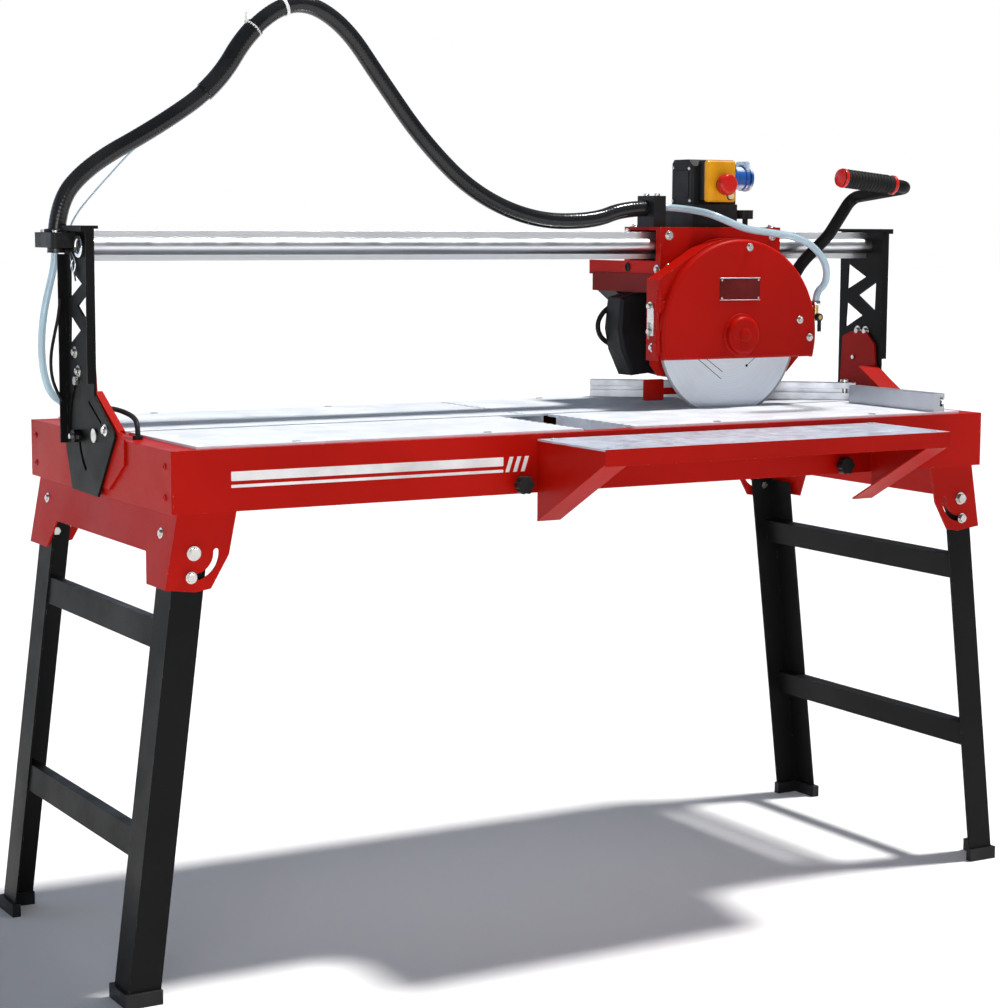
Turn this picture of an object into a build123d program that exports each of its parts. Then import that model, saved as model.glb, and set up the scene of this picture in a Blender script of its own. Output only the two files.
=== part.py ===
"""Bridge wet tile saw: a folding-leg bench with a water tub, a tilting rail and a sliding cutting head.

Millimetres, +X to the operator's right, +Y away from the operator, +Z up.  The origin is on the floor,
midway across the machine.  Depths are given from the bench's own centre line, which lies bench_y
behind the origin because the side table hangs off the front.
"""
import os
from math import atan2, cos, degrees, radians, sin, tan
from build123d import *

os.makedirs("parts", exist_ok=True)

# ---- bench ----
bench_y = 101
half_length = 770
half_width = 308
bench_top = 826
rail_bottom = 733
sheet = 3
plate_top = bench_top + 4
blade_depth = -21            # the cutting plane, from the bench's centre line
slot_half = 7

# ---- legs ----
pivot_x, pivot_z = 733, 674
splay = 7.1
leg_width, leg_sheet, leg_return = 50, 3, 60
leg_face = 292               # outer face of the legs, either side of the centre line
lock_radius = 36
fold_angle = 96
shoe_height = 22

# ---- bridge ----
upright_x = 775
upright_sheet = 4
column_front, column_back, column_top = -20, 105, 1144
tube_y, tube_z, tube_radius = 26, 1117, 14
beam_low, beam_high, beam_back = 1094, 1142, 90
upper_slot_radius, lower_slot_radius = 110, 70
tilt_angle = 45

# ---- carriage and head ----
box_left, box_right, box_top, box_floor = 282, 545, 1151, 1064
box_front, box_back = -6, 110
swing_x, swing_z = 300, 1050
arbor_x, arbor_z = 420, 960
blade_radius = 150
guard_radius = 172
guard_left, guard_bottom, guard_corner = 250, 915, 1060
motor_radius = 70
running = 0.05               # radial clearance of every turning fit

SIDES = (("left", -1), ("right", 1))


def facing_front(depth):
    """Sketch x runs right, sketch y runs up; a positive extrusion comes towards the operator."""
    return Plane(origin=(0, bench_y + depth, 0), x_dir=(1, 0, 0), z_dir=(0, -1, 0))


def facing_right(x):
    """Sketch x runs back from the bench's centre line, sketch y runs up; extrusion runs right."""
    return Plane(origin=(x, bench_y, 0), x_dir=(0, 1, 0), z_dir=(1, 0, 0))


def facing_up(height):
    """Sketch x runs right, sketch y runs back from the bench's centre line; extrusion runs up."""
    return Plane(origin=(0, bench_y, height), x_dir=(1, 0, 0), z_dir=(0, 0, 1))


def block(x_range, y_range, z_range, mode=Mode.ADD):
    """A box between two corners, depths from the bench's centre line."""
    spans = [high - low for low, high in (x_range, y_range, z_range)]
    middle = [(low + high) / 2 for low, high in (x_range, y_range, z_range)]
    with Locations((middle[0], bench_y + middle[1], middle[2])):
        Box(*spans, mode=mode)


def rod_x(x_range, y, z, radius, mode=Mode.ADD):
    with BuildSketch(facing_right(x_range[0])) as section:
        with Locations((y, z)):
            Circle(radius)
    extrude(section.sketch, amount=x_range[1] - x_range[0], mode=mode)


def rod_y(x, y_range, z, radius, mode=Mode.ADD):
    with BuildSketch(facing_front(y_range[1])) as section:
        with Locations((x, z)):
            Circle(radius)
    extrude(section.sketch, amount=y_range[1] - y_range[0], mode=mode)


def rod_z(x, y, z_range, radius, mode=Mode.ADD):
    with BuildSketch(facing_up(z_range[0])) as section:
        with Locations((x, y)):
            Circle(radius)
    extrude(section.sketch, amount=z_range[1] - z_range[0], mode=mode)


def hex_x(x_range, y, z, across_corners):
    with BuildSketch(facing_right(x_range[0])) as section:
        with Locations((y, z)):
            RegularPolygon(across_corners / 2, 6)
    extrude(section.sketch, amount=x_range[1] - x_range[0])


def hex_y(x, y_range, z, across_corners):
    with BuildSketch(facing_front(y_range[1])) as section:
        with Locations((x, z)):
            RegularPolygon(across_corners / 2, 6)
    extrude(section.sketch, amount=y_range[1] - y_range[0])


def outline(points, mode=Mode.ADD):
    """A closed straight-sided face."""
    with BuildLine() as edge:
        Polyline(*points, close=True)
    make_face(edge.edges(), mode=mode)


def span(low, high):
    """The range between two numbers given in either order."""
    return (min(low, high), max(low, high))


def save(piece, name):
    piece.part.label = name
    export_step(piece.part, f"parts/{name}.step")


# ======================== bench ========================
with BuildPart() as side_rails:
    for side in (-1, 1):
        with BuildSketch(facing_right(-half_length + sheet)):
            outline([(side * y, z) for y, z in (
                (half_width, rail_bottom), (half_width, bench_top), (280, bench_top),
                (280, bench_top - sheet), (half_width - sheet, bench_top - sheet),
                (half_width - sheet, rail_bottom + sheet), (280, rail_bottom + sheet),
                (280, rail_bottom))])
        extrude(amount=2 * (half_length - sheet))
save(side_rails, "side_rails")

with BuildPart() as end_rails:
    for side in (-1, 1):
        with BuildSketch(facing_front(280)):
            outline([(side * x, z) for x, z in (
                (half_length, rail_bottom), (half_length, bench_top), (720, bench_top),
                (720, bench_top - sheet), (half_length - sheet, bench_top - sheet),
                (half_length - sheet, rail_bottom + sheet), (742, rail_bottom + sheet),
                (742, rail_bottom))])
        extrude(amount=560)
        block(span(side * half_length, side * (half_length - sheet)), (-half_width, half_width),
              (rail_bottom, bench_top))
        rod_x(span(side * 765, side * 771), blade_depth, bench_top, 6, mode=Mode.SUBTRACT)
        rod_x(span(side * 765, side * 771), 49, 820, 4, mode=Mode.SUBTRACT)
save(end_rails, "end_rails")

with BuildPart() as water_tub:
    block((-738, 738), (-296, 296), (rail_bottom + sheet, 778))
    block((-736, 736), (-294, 294), (rail_bottom + sheet + 2, 778), mode=Mode.SUBTRACT)
save(water_tub, "water_tub")

support_x = (-700, -400, -70, 46, 400, 700)
with BuildPart() as table_supports:
    for x in support_x:
        with BuildSketch(facing_right(x - 2)):
            outline([(-305, 780), (305, 780), (305, 823), (280, 823), (280, bench_top), (3, bench_top),
                     (3, 800), (-45, 800), (-45, bench_top), (-280, bench_top), (-280, 823), (-305, 823)])
        extrude(amount=4)
save(table_supports, "table_supports")

# Four zinc-coated plates; the two front ones stop short of each other and have toothed ends.
table_plates = {
    "table_front_left": ((-726, -60), (-298, blade_depth - slot_half), -60),
    "table_front_right": ((38, 726), (-298, blade_depth - slot_half), 38),
    "table_rear_left": ((-726, -1), (blade_depth + slot_half, 298), -1),
    "table_rear_right": ((1, 726), (blade_depth + slot_half, 298), 1),
}
tooth_pitch, tooth_gap, tooth_depth = 22, 9, 7
for plate_name, (x_range, y_range, toothed_edge) in table_plates.items():
    with BuildPart() as table_plate:
        block(x_range, y_range, (bench_top, plate_top))
        first_gap = y_range[0] + 20
        gaps = int((y_range[1] - 20 - first_gap) // tooth_pitch) + 1
        for tooth in range(gaps):
            middle = first_gap + tooth * tooth_pitch
            block((toothed_edge - tooth_depth, toothed_edge + tooth_depth),
                  (middle - tooth_gap / 2, middle + tooth_gap / 2), (bench_top - 1, plate_top + 1),
                  mode=Mode.SUBTRACT)
    save(table_plate, plate_name)

# Red plates on the bench's ends carry the tilting bridge; a gusset is folded in along the slope.
upper_bolt = (blade_depth + upper_slot_radius * cos(radians(47)),
              bench_top + upper_slot_radius * sin(radians(47)))
lower_bolt = (49, 820)
for side_name, side in SIDES:
    with BuildPart() as end_bracket:
        with BuildSketch(facing_right(min(side * half_length, side * (half_length + 4)))):
            outline([(93, 746), (93, 857), (88, 945), (62, 955), (18, 955), (-6, 934), (-11, 894),
                     (-105, 840), (-130, 828), (-130, 790), (-64, 746)])
        extrude(amount=4)
        reach = 40 if side > 0 else 8
        with BuildSketch(facing_right(min(side * (half_length - reach), side * half_length))):
            outline([(-11, 894), (-105, 840), (-105, 836), (-11, 890)])
        extrude(amount=reach)
        for bolt_y, bolt_z, radius in ((*upper_bolt, 4), (*lower_bolt, 4), (blade_depth, bench_top, 6)):
            rod_x(span(side * 769, side * 775), bolt_y, bolt_z, radius, mode=Mode.SUBTRACT)
    save(end_bracket, f"{side_name}_end_bracket")

for side_name, side in SIDES:
    with BuildPart() as tilt_lever:
        rod_x(span(side * 780, side * 790), *lower_bolt, 10)
        block(span(side * 783, side * 789), (lower_bolt[0] - 26, lower_bolt[0] + 18), (817, 823))
        rod_x(span(side * 779, side * 798), *lower_bolt, 4 + running, mode=Mode.SUBTRACT)
    save(tilt_lever, f"{side_name}_tilt_lever")


# ======================== folding legs ========================
def leg_point(along, across):
    """A point of the right-hand leg, from the pivot: down along the leg and outward across it."""
    angle = radians(splay)
    return (pivot_x + along * sin(angle) + across * cos(angle),
            pivot_z - along * cos(angle) + across * sin(angle))


def leg_height(z):
    """How far down the leg a height on its axis lies."""
    return (pivot_z - z) / cos(radians(splay))


half_leg = leg_width / 2
leg_end = leg_height(6)
for side_name, side in SIDES:
    slot_arc = CenterArc((side * pivot_x, pivot_z), lock_radius,
                         -90 + side * splay, -side * (fold_angle + 2))
    with BuildPart() as leg_bracket:
        for cheek in (-1, 1):
            with BuildSketch(facing_front(max(cheek * 296, cheek * 300))):
                outline([(side * x, z) for x, z in (
                    (758, rail_bottom), (778, 622), (730, 616), (706, 620), (677, 669), (664, rail_bottom))])
                with Locations((side * pivot_x, pivot_z)):
                    Circle(5, mode=Mode.SUBTRACT)
                SlotArc(slot_arc, 9.6, mode=Mode.SUBTRACT)
            extrude(amount=4)
        with BuildSketch(facing_front(296)):
            outline([(side * x, z) for x, z in (
                (758, rail_bottom), (778, 622), (775, 622), (755, rail_bottom))])
        extrude(amount=592)
        with BuildSketch(facing_right(min(side * 750, side * 790))):
            outline([(-236, 600), (-204, 668), (190, 668), (232, 600)])
        extrude(amount=40, mode=Mode.SUBTRACT)
    save(leg_bracket, f"{side_name}_leg_bracket")

    with BuildPart() as leg_frame:
        for face in (-1, 1):
            front_sheet = (face * leg_face, face * (leg_face - leg_sheet))
            with BuildSketch(facing_front(max(front_sheet))):
                outline([(side * x, z) for x, z in (
                    leg_point(0, -half_leg), leg_point(0, half_leg),
                    leg_point(leg_end, half_leg), leg_point(leg_end, -half_leg))])
                with Locations((side * pivot_x, pivot_z)):
                    Circle(half_leg)
                    Circle(5 + running, mode=Mode.SUBTRACT)
                lock_x, lock_z = leg_point(lock_radius, 0)
                with Locations((side * lock_x, lock_z)):
                    Circle(4, mode=Mode.SUBTRACT)
            extrude(amount=leg_sheet)
            return_sheet = (face * (leg_face - leg_sheet), face * (leg_face - leg_return))
            with BuildSketch(facing_front(max(return_sheet))):
                outline([(side * x, z) for x, z in (
                    leg_point(30, half_leg), leg_point(leg_end, half_leg),
                    leg_point(leg_end, half_leg - leg_sheet), leg_point(30, half_leg - leg_sheet))])
            extrude(amount=leg_return - leg_sheet)
        weld = 0.05
        for bar_z in (545, 232):
            middle = leg_height(bar_z)
            outer = half_leg - leg_sheet - weld
            with BuildSketch(facing_front(leg_face - leg_sheet - weld)):
                outline([(side * x, z) for x, z in (
                    leg_point(middle - 21.5, outer - 22), leg_point(middle - 21.5, outer),
                    leg_point(middle + 21.5, outer), leg_point(middle + 21.5, outer - 22))])
            extrude(amount=2 * (leg_face - leg_sheet - weld))
    save(leg_frame, f"{side_name}_leg_frame")

    with BuildPart() as leg_shoes:
        for face in (-1, 1):
            block(span(side * 788, side * 846), span(face * 284, face * 297), (0, shoe_height))
            block(span(side * 832, side * 846), span(face * 226, face * 284), (0, shoe_height))
        add(leg_frame.part, mode=Mode.SUBTRACT)
    save(leg_shoes, f"{side_name}_leg_shoes")

    with BuildPart() as lock_bolts:
        for face in (-1, 1):
            x = side * lock_x
            rod_y(x, span(face * 283, face * 301), lock_z, 4)
            rod_y(x, span(face * 300.4, face * 302), lock_z, 9)
            hex_y(x, span(face * 302, face * 307), lock_z, 14)
            hex_y(x, span(face * 282, face * 289), lock_z, 14)
    save(lock_bolts, f"{side_name}_lock_bolts")

mitre_pivot = (712, 5)
with BuildPart() as pivot_bolts:
    for side_name, side in SIDES:
        rod_x(span(side * 767, side * 779.5), blade_depth, bench_top, 6)
        rod_x(span(side * 779.5, side * 782), blade_depth, bench_top, 11)
        rod_x(span(side * 767, side * 785), *upper_bolt, 4)
        hex_x(span(side * 779.5, side * 785), *upper_bolt, 15)
        rod_x(span(side * 767, side * 796), *lower_bolt, 4)
        for face in (-1, 1):
            x = side * pivot_x
            rod_y(x, span(face * 281, face * 302), pivot_z, 5)
            rod_y(x, span(face * 292.3, face * 296), pivot_z, 10)
            rod_y(x, span(face * 300, face * 302), pivot_z, 11)
            hex_y(x, span(face * 302, face * 308), pivot_z, 17)
            hex_y(x, span(face * 281, face * 288.7), pivot_z, 17)
    rod_z(*mitre_pivot, (plate_top, plate_top + 36), 5)
    rod_z(*mitre_pivot, (plate_top + 33, plate_top + 38), 9)
save(pivot_bolts, "pivot_bolts")

# ======================== tilting bridge ========================
for side_name, side in SIDES:
    upper_arc = CenterArc((blade_depth, bench_top), upper_slot_radius, 0, 48.5)
    lower_start = degrees(atan2(lower_bolt[1] - bench_top, lower_bolt[0] - blade_depth))
    lower_arc = CenterArc((blade_depth, bench_top), lower_slot_radius, lower_start + 1.5, -(tilt_angle + 3))
    with BuildPart() as upright:
        with BuildSketch(facing_right(min(side * upright_x, side * (upright_x + upright_sheet)))):
            outline([(column_back, column_top), (column_back, 860), (112, 798), (86, 733), (-28, 731),
                     (-104, 829), (-98, 838), (column_front, 886), (column_front, column_top)])
            for triangle in (((82, 1084), (28, 1059), (84, 1034)), ((-2, 1050), (50, 1024), (0, 995)),
                             ((84, 1011), (36, 986), (88, 961))):
                outline(triangle, mode=Mode.SUBTRACT)
            with Locations((blade_depth, bench_top)):
                Circle(6 + running, mode=Mode.SUBTRACT)
            with Locations((tube_y, tube_z)):
                Circle(tube_radius, mode=Mode.SUBTRACT)
            SlotArc(upper_arc, 9, mode=Mode.SUBTRACT)
            SlotArc(lower_arc, 9, mode=Mode.SUBTRACT)
            outline([(4, 879), (-50, 849), (-48, 845), (6, 875)], mode=Mode.SUBTRACT)
        extrude(amount=upright_sheet)
        for reach, depths, heights in ((10, (column_front, column_front + sheet), (906, column_top)),
                                       (12, (column_back - sheet, column_back), (805, 1104))):
            block(span(side * (upright_x + upright_sheet), side * (upright_x + upright_sheet + reach)),
                  depths, heights)
        block(span(side * (upright_x - 6), side * (upright_x + upright_sheet)),
              (column_front - 2, column_back + 2), (column_top, column_top + 5))
        block(span(side * (upright_x + upright_sheet), side * (upright_x + 22)), (column_front - 2, 70),
              (column_top - 4, column_top + 5))
    save(upright, f"{side_name}_upright")

with BuildPart() as beam:
    with BuildSketch(facing_right(-upright_x)):
        outline([(tube_y + 2, beam_low), (beam_back, beam_low), (beam_back, beam_high), (72, beam_high),
                 (72, 1128), (62, 1128), (62, beam_high), (44, beam_high), (44, 1128), (34, 1128),
                 (34, beam_high), (tube_y + 2, beam_high)])
        with Locations((tube_y, tube_z)):
            Circle(tube_radius)
            Circle(tube_radius - 3, mode=Mode.SUBTRACT)
        with Locations((66, 1111)):
            Rectangle(40, 26, mode=Mode.SUBTRACT)
    extrude(amount=2 * upright_x)
    for side_name, side in SIDES:
        rod_x(span(side * upright_x, side * (upright_x + 9)), tube_y, tube_z, tube_radius)
        rod_x(span(side * (upright_x - 1), side * (upright_x + 10)), tube_y, tube_z, tube_radius - 3,
              mode=Mode.SUBTRACT)
save(beam, "beam")

conduit_radius = 14
conduit_x, conduit_y = -797, 92
with BuildPart() as left_hose_clamp:
    block((conduit_x - 20, -upright_x - upright_sheet), (52, 140), (1114, 1138))
    rod_z(conduit_x, conduit_y, (1110, 1144), conduit_radius, mode=Mode.SUBTRACT)
    fillet(left_hose_clamp.edges().filter_by(Axis.Z).sort_by(Axis.X)[:2], 8)
save(left_hose_clamp, "left_hose_clamp")


# ======================== sliding carriage ========================
with BuildPart() as carriage_body:
    block((box_left, box_right), (box_front, box_back), (box_floor, box_top))
    block((box_left + sheet, box_right - sheet), (box_front + sheet, box_back - sheet),
          (box_floor + sheet, box_top - 2), mode=Mode.SUBTRACT)
    block((box_left - 1, box_right + 1), (tube_y - tube_radius - 3, beam_back + 3),
          (beam_low - 3, beam_high + 3), mode=Mode.SUBTRACT)
    block((box_left, box_right), (box_back, 228), (box_floor, box_floor + sheet))
    for x in (box_left, box_right - sheet):
        block((x, x + sheet), (box_back, 228), (box_floor, 1090))
    for ear_y in (61, 144):
        with BuildSketch(facing_front(ear_y + 5)):
            with Locations((swing_x, 1052)):
                Rectangle(30, 24)
        extrude(amount=5)
    for axle_x in (325, 500):
        for hanger_y in (28, 76):
            block((axle_x - 8, axle_x + 8), (hanger_y, hanger_y + 4), (1142.5, box_top - 2))
            block((axle_x - 8, axle_x + 8), (hanger_y, hanger_y + 4), (box_floor + sheet, 1090))
            rod_y(axle_x, (hanger_y - 1, hanger_y + 5), 1081, 4 + running, mode=Mode.SUBTRACT)
    rod_y(swing_x, (50, 160), swing_z, 6, mode=Mode.SUBTRACT)
save(carriage_body, "carriage_body")

# Two rollers under the beam; the carriage hangs on glide pads folded into its top.
for axle_number, axle_x in enumerate((325, 500), start=1):
    with BuildPart() as roller:
        rod_y(axle_x, (27, 81), 1081, 4)
        rod_y(axle_x, (36, 72), 1081, 12.6)
    save(roller, f"beam_roller_{axle_number}")

with BuildPart() as swing_shaft:
    rod_y(swing_x, (-5, 214), swing_z, 6)
save(swing_shaft, "swing_shaft")

with BuildPart() as switch_box:
    with BuildSketch(facing_right(374)):
        outline([(30, 1190), (98, 1190), (98, 1262), (88, 1272), (42, 1272), (30, 1260)])
    extrude(amount=98)
    fillet(switch_box.edges().filter_by(Axis.Z), 5)
    block((364, 462), (14, 102), (box_top, 1192))
save(switch_box, "switch_box")

with BuildPart() as start_switch:
    block((386, 450), (2, 30), (1196, 1270))
    fillet(start_switch.edges().filter_by(Axis.Y), 5)
    chamfer(start_switch.faces().sort_by(Axis.Y)[0].edges(), 3)
    rod_y(421, (-6, 16), 1227, 7 + running, mode=Mode.SUBTRACT)
    rod_y(437, (-6, 16), 1207, 6 + running, mode=Mode.SUBTRACT)
save(start_switch, "start_switch")

with BuildPart() as stop_button:
    rod_y(421, (-8, 10), 1227, 7)
    rod_y(421, (-20, -5), 1227, 19)
    fillet(stop_button.faces().sort_by(Axis.Y)[0].edges(), 6)
save(stop_button, "stop_button")

with BuildPart() as start_button:
    rod_y(437, (-2.5, 9), 1207, 6)
save(start_button, "start_button")

with BuildPart() as power_inlet:
    rod_x((472, 512), 62, 1240, 21)
    rod_x((474, 513), 62, 1240, 17, mode=Mode.SUBTRACT)
    for pin in range(3):
        angle = radians(90 + 120 * pin)
        rod_x((473, 500), 62 + 9 * cos(angle), 1240 + 9 * sin(angle), 2.5)
    for ear in ((46, 54), (70, 78)):
        rod_y(508, ear, 1267, 4)
        block((504, 512), ear, (1254, 1267))
    rod_y(508, (44, 80), 1267, 1.5)
save(power_inlet, "power_inlet")

with BuildPart() as inlet_lid:
    rod_x((512.5, 517), 62, 1240, 24)
    rod_y(508, (54.4, 69.6), 1267, 4)
    block((508, 517), (56, 68), (1262.5, 1270))
    rod_y(508, (50, 74), 1267, 1.5 + running, mode=Mode.SUBTRACT)
save(inlet_lid, "inlet_lid")

with BuildPart() as carriage_knob:
    with BuildSketch(facing_up(1166)):
        with Locations((486, 22)):
            Circle(11)
        for lobe in range(5):
            angle = radians(72 * lobe)
            with Locations((486 + 9 * cos(angle), 22 + 9 * sin(angle))):
                Circle(7)
    extrude(amount=16)
    rod_z(486, 22, (box_top, 1166), 5)
save(carriage_knob, "carriage_knob")

with BuildPart() as right_hose_clamp:
    block((284, 310), (20, 72), (box_top, 1206))
    rod_x((280, 306), 46, 1184, conduit_radius, mode=Mode.SUBTRACT)
    rod_x((306, 312), 40, 1186, 6.5, mode=Mode.SUBTRACT)
save(right_hose_clamp, "right_hose_clamp")

# ======================== swinging head ========================
handle_path = [(566, -0.5, 1038), (600, -0.5, 1087), (632, -36, 1136), (678, -45, 1206),
               (678, -206, 1223), (528, -206, 1237)]
handle_points = [(x, bench_y + y, z) for x, y, z in handle_path]
with BuildPart() as handle:
    with BuildLine() as handle_line:
        FilletPolyline(*handle_points, radius=[60, 60, 22, 24])
    with BuildSketch(Plane(origin=handle_line.line @ 0, z_dir=handle_line.line % 0)):
        Circle(11)
    sweep(path=handle_line.wire())
save(handle, "handle")

grip_start = Vector(*handle_points[5])
grip_run = Vector(*handle_points[4]) - grip_start
with BuildPart() as handle_grip:
    with BuildSketch(Plane(origin=grip_start - grip_run.normalized() * 6, z_dir=grip_run)):
        Circle(15.5)
    extrude(amount=118)
    fillet(handle_grip.edges().filter_by(GeomType.CIRCLE), 4)
    add(handle.part, mode=Mode.SUBTRACT)
save(handle_grip, "handle_grip")

with BuildPart() as head_arm:
    with BuildSketch(facing_front(-8)):
        with Locations((arbor_x, arbor_z)):
            Circle(62)
        with Locations((576, 1050)):
            Circle(16)
        make_hull()
        with Locations((arbor_x, arbor_z)):
            Circle(36, mode=Mode.SUBTRACT)
    extrude(amount=4)
    rod_y(arbor_x, (-12, 20), arbor_z, 42)
    rod_y(arbor_x, (-13, 21), arbor_z, 34, mode=Mode.SUBTRACT)
    for knuckle in ((-8, 60.5), (149.5, 212)):
        rod_y(swing_x, knuckle, swing_z, 13)
        block((swing_x - 13, swing_x + 13), knuckle, (1034, swing_z))
    with BuildSketch(facing_front(18)):
        outline([(287, 1036), (313, 1048), (402, 1000), (380, 970)])
    extrude(amount=26)
    with BuildSketch(facing_front(212)):
        outline([(287, 1036), (313, 1046), (380, 1026), (360, 1004), (352, 985)])
    extrude(amount=178)
    rod_y(arbor_x, (34, 212), arbor_z, motor_radius + 6)
    block((arbor_x, 540), (33, 213), (850, 1045), mode=Mode.SUBTRACT)
    block((330, 540), (33, 213), (850, 950), mode=Mode.SUBTRACT)
    rod_y(arbor_x, (20, 213), arbor_z, motor_radius, mode=Mode.SUBTRACT)
    block((280, 330), (61 - 0.5, 149.5), (1030, 1066), mode=Mode.SUBTRACT)
    rod_y(swing_x, (-9, 213), swing_z, 6 + running, mode=Mode.SUBTRACT)
    block((562, 592), (-8, 9), (1036, 1068))
    add(handle.part, mode=Mode.SUBTRACT)
save(head_arm, "head_arm")

with BuildPart() as motor:
    rod_y(arbor_x, (20, 250), arbor_z, motor_radius)
    rod_y(arbor_x, (26, 244), arbor_z, motor_radius - 6, mode=Mode.SUBTRACT)
    rod_y(arbor_x, (19, 27), arbor_z, 10 + running, mode=Mode.SUBTRACT)
    with BuildSketch(facing_front(150)):
        outline([(352, 946), (344, 934), (352, 884), (394, 874), (420, 892), (420, 920)])
        with Locations((arbor_x, arbor_z)):
            Circle(motor_radius - 1, mode=Mode.SUBTRACT)
    extrude(amount=110)
    for vent in range(8):
        angle = radians(45 * vent)
        rod_y(arbor_x + 42 * cos(angle), (243, 251), arbor_z + 42 * sin(angle), 7, mode=Mode.SUBTRACT)
save(motor, "motor")

with BuildPart() as rotor:
    rod_y(arbor_x, (-44, 238), arbor_z, 10)
    rod_y(arbor_x, (60, 180), arbor_z, 44)
    rod_y(arbor_x, (205, 211), arbor_z, 20)
    for fan_blade in range(8):
        with BuildSketch(Plane(origin=(arbor_x, bench_y + 232, arbor_z), x_dir=(1, 0, 0), z_dir=(0, -1, 0))):
            with PolarLocations(34, 1, start_angle=45 * fan_blade):
                Rectangle(44, 4)
        extrude(amount=24)
save(rotor, "rotor")

blade_thickness = 2.4
with BuildPart() as blade:
    with BuildSketch(facing_front(blade_depth + blade_thickness / 2)):
        with Locations((arbor_x, arbor_z)):
            Circle(blade_radius)
            Circle(10, mode=Mode.SUBTRACT)
    extrude(amount=blade_thickness)
save(blade, "blade")

with BuildPart() as blade_flanges:
    for flange in (span(blade_depth + 1.2, -8), (-28, blade_depth - 1.2)):
        rod_y(arbor_x, flange, arbor_z, 30)
    hex_y(arbor_x, (-40, -28), arbor_z, 34)
    rod_y(arbor_x, (-45, -5), arbor_z, 10, mode=Mode.SUBTRACT)
save(blade_flanges, "blade_flanges")


def guard_outline(inset):
    """The guard's face: a disc with a flat bottom and a squared left side."""
    radius = guard_radius - inset
    left, low = guard_left + inset, guard_bottom
    shoulder = radians(125)
    shoulder_point = (arbor_x + radius * cos(shoulder), arbor_z + radius * sin(shoulder))
    foot_angle = atan2(low - arbor_z, radius)
    foot_point = (arbor_x + radius * cos(foot_angle), arbor_z + radius * sin(foot_angle))
    with BuildLine() as edge:
        Polyline(foot_point, (left, foot_point[1]), (left, guard_corner - inset / 2), shoulder_point)
        ThreePointArc(shoulder_point, (arbor_x + radius * cos(radians(50)),
                                       arbor_z + radius * sin(radians(50))), foot_point)
    make_face(edge.edges())


def cover_outline(radius):
    """The hinged cover's face: a disc with a flat bottom."""
    foot = atan2(guard_bottom - arbor_z, guard_radius)
    across, low = radius * cos(foot), radius * sin(foot)
    with BuildLine() as edge:
        Polyline((arbor_x + across, arbor_z + low), (arbor_x - across, arbor_z + low))
        ThreePointArc((arbor_x - across, arbor_z + low), (arbor_x, arbor_z + radius),
                      (arbor_x + across, arbor_z + low))
    make_face(edge.edges())


guard_sheet = 2.5
with BuildPart() as guard_shell:
    with BuildSketch(facing_front(-12)):
        guard_outline(0)
    extrude(amount=38)
    with BuildSketch(facing_front(-14)):
        guard_outline(guard_sheet)
    extrude(amount=37, mode=Mode.SUBTRACT)
    with BuildSketch(facing_front(-48)):
        guard_outline(0)
        with Locations((arbor_x, arbor_z)):
            Circle(guard_radius - 8, mode=Mode.SUBTRACT)
    extrude(amount=2)
    block((guard_left + guard_sheet, 590), (-51, -14), (900, 920), mode=Mode.SUBTRACT)
    with BuildSketch(facing_front(-12)):
        outline([(258, 925), (258, 908), (274, 888), (560, 888), (586, 914), (586, 925)])
    extrude(amount=2)
    rod_y(arbor_x, (-15, -11), arbor_z, 44, mode=Mode.SUBTRACT)
    hinge_x, hinge_y = 244.5, -56
    for knuckle in ((930, 950), (1022, 1042)):
        block((240, 249.5), (-58, -45), knuckle)
        block((247, guard_left + 1), (-49.5, -45), knuckle)
        rod_z(hinge_x, hinge_y, knuckle, 4)
    rod_z(hinge_x, hinge_y, (928, 1044), 2)
save(guard_shell, "guard_shell")

with BuildPart() as guard_cover:
    with BuildSketch(facing_front(-50.3)):
        cover_outline(guard_radius - 2)
    extrude(amount=12)
    front_edges = guard_cover.faces().sort_by(Axis.Y)[0].edges()
    fillet(front_edges, 7)
    with BuildSketch(facing_front(-50.3)):
        cover_outline(guard_radius - 2 - guard_sheet)
    extrude(amount=9, mode=Mode.SUBTRACT)
    block((guard_left + guard_sheet, 582), (-59.3, -50), (910, 918), mode=Mode.SUBTRACT)
    rod_y(arbor_x, (-76, -61), arbor_z, 34)
    fillet(guard_cover.faces().sort_by(Axis.Y)[0].edges(), 8)
    rod_y(arbor_x, (-64, -59), arbor_z, 22, mode=Mode.SUBTRACT)
    for knuckle in ((950.4, 970), (1002, 1021.6)):
        rod_z(hinge_x, hinge_y, knuckle, 4)
        block((hinge_x, guard_left + 13), (-54, -51.5), knuckle)
        rod_z(hinge_x, hinge_y, knuckle, 2 + running, mode=Mode.SUBTRACT)
save(guard_cover, "guard_cover")

tap_z = 988
with BuildPart() as water_tap:
    rod_x((591.2, 617), -34, tap_z, 7)
    rod_x((591.2, 594), -34, tap_z, 9)
    rod_z(608, -34, (tap_z, tap_z + 22), 5.5)
    rod_y(608, (-49, -34), tap_z, 4)
save(water_tap, "water_tap")

with BuildPart() as tap_lever:
    rod_y(608, (-48, -41.4), tap_z, 7)
    block((605, 611), (-48, -44), (tap_z - 26, tap_z))
    rod_y(608, (-50, -40), tap_z, 4 + running, mode=Mode.SUBTRACT)
save(tap_lever, "tap_lever")

# ======================== side table and fences ========================
table_front, table_low = -508, 795
table_left, table_right = -152, 525
with BuildPart() as side_table_top:
    block((table_left, table_right), (-505.5, -309), (815, 818))
save(side_table_top, "side_table_top")

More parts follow.
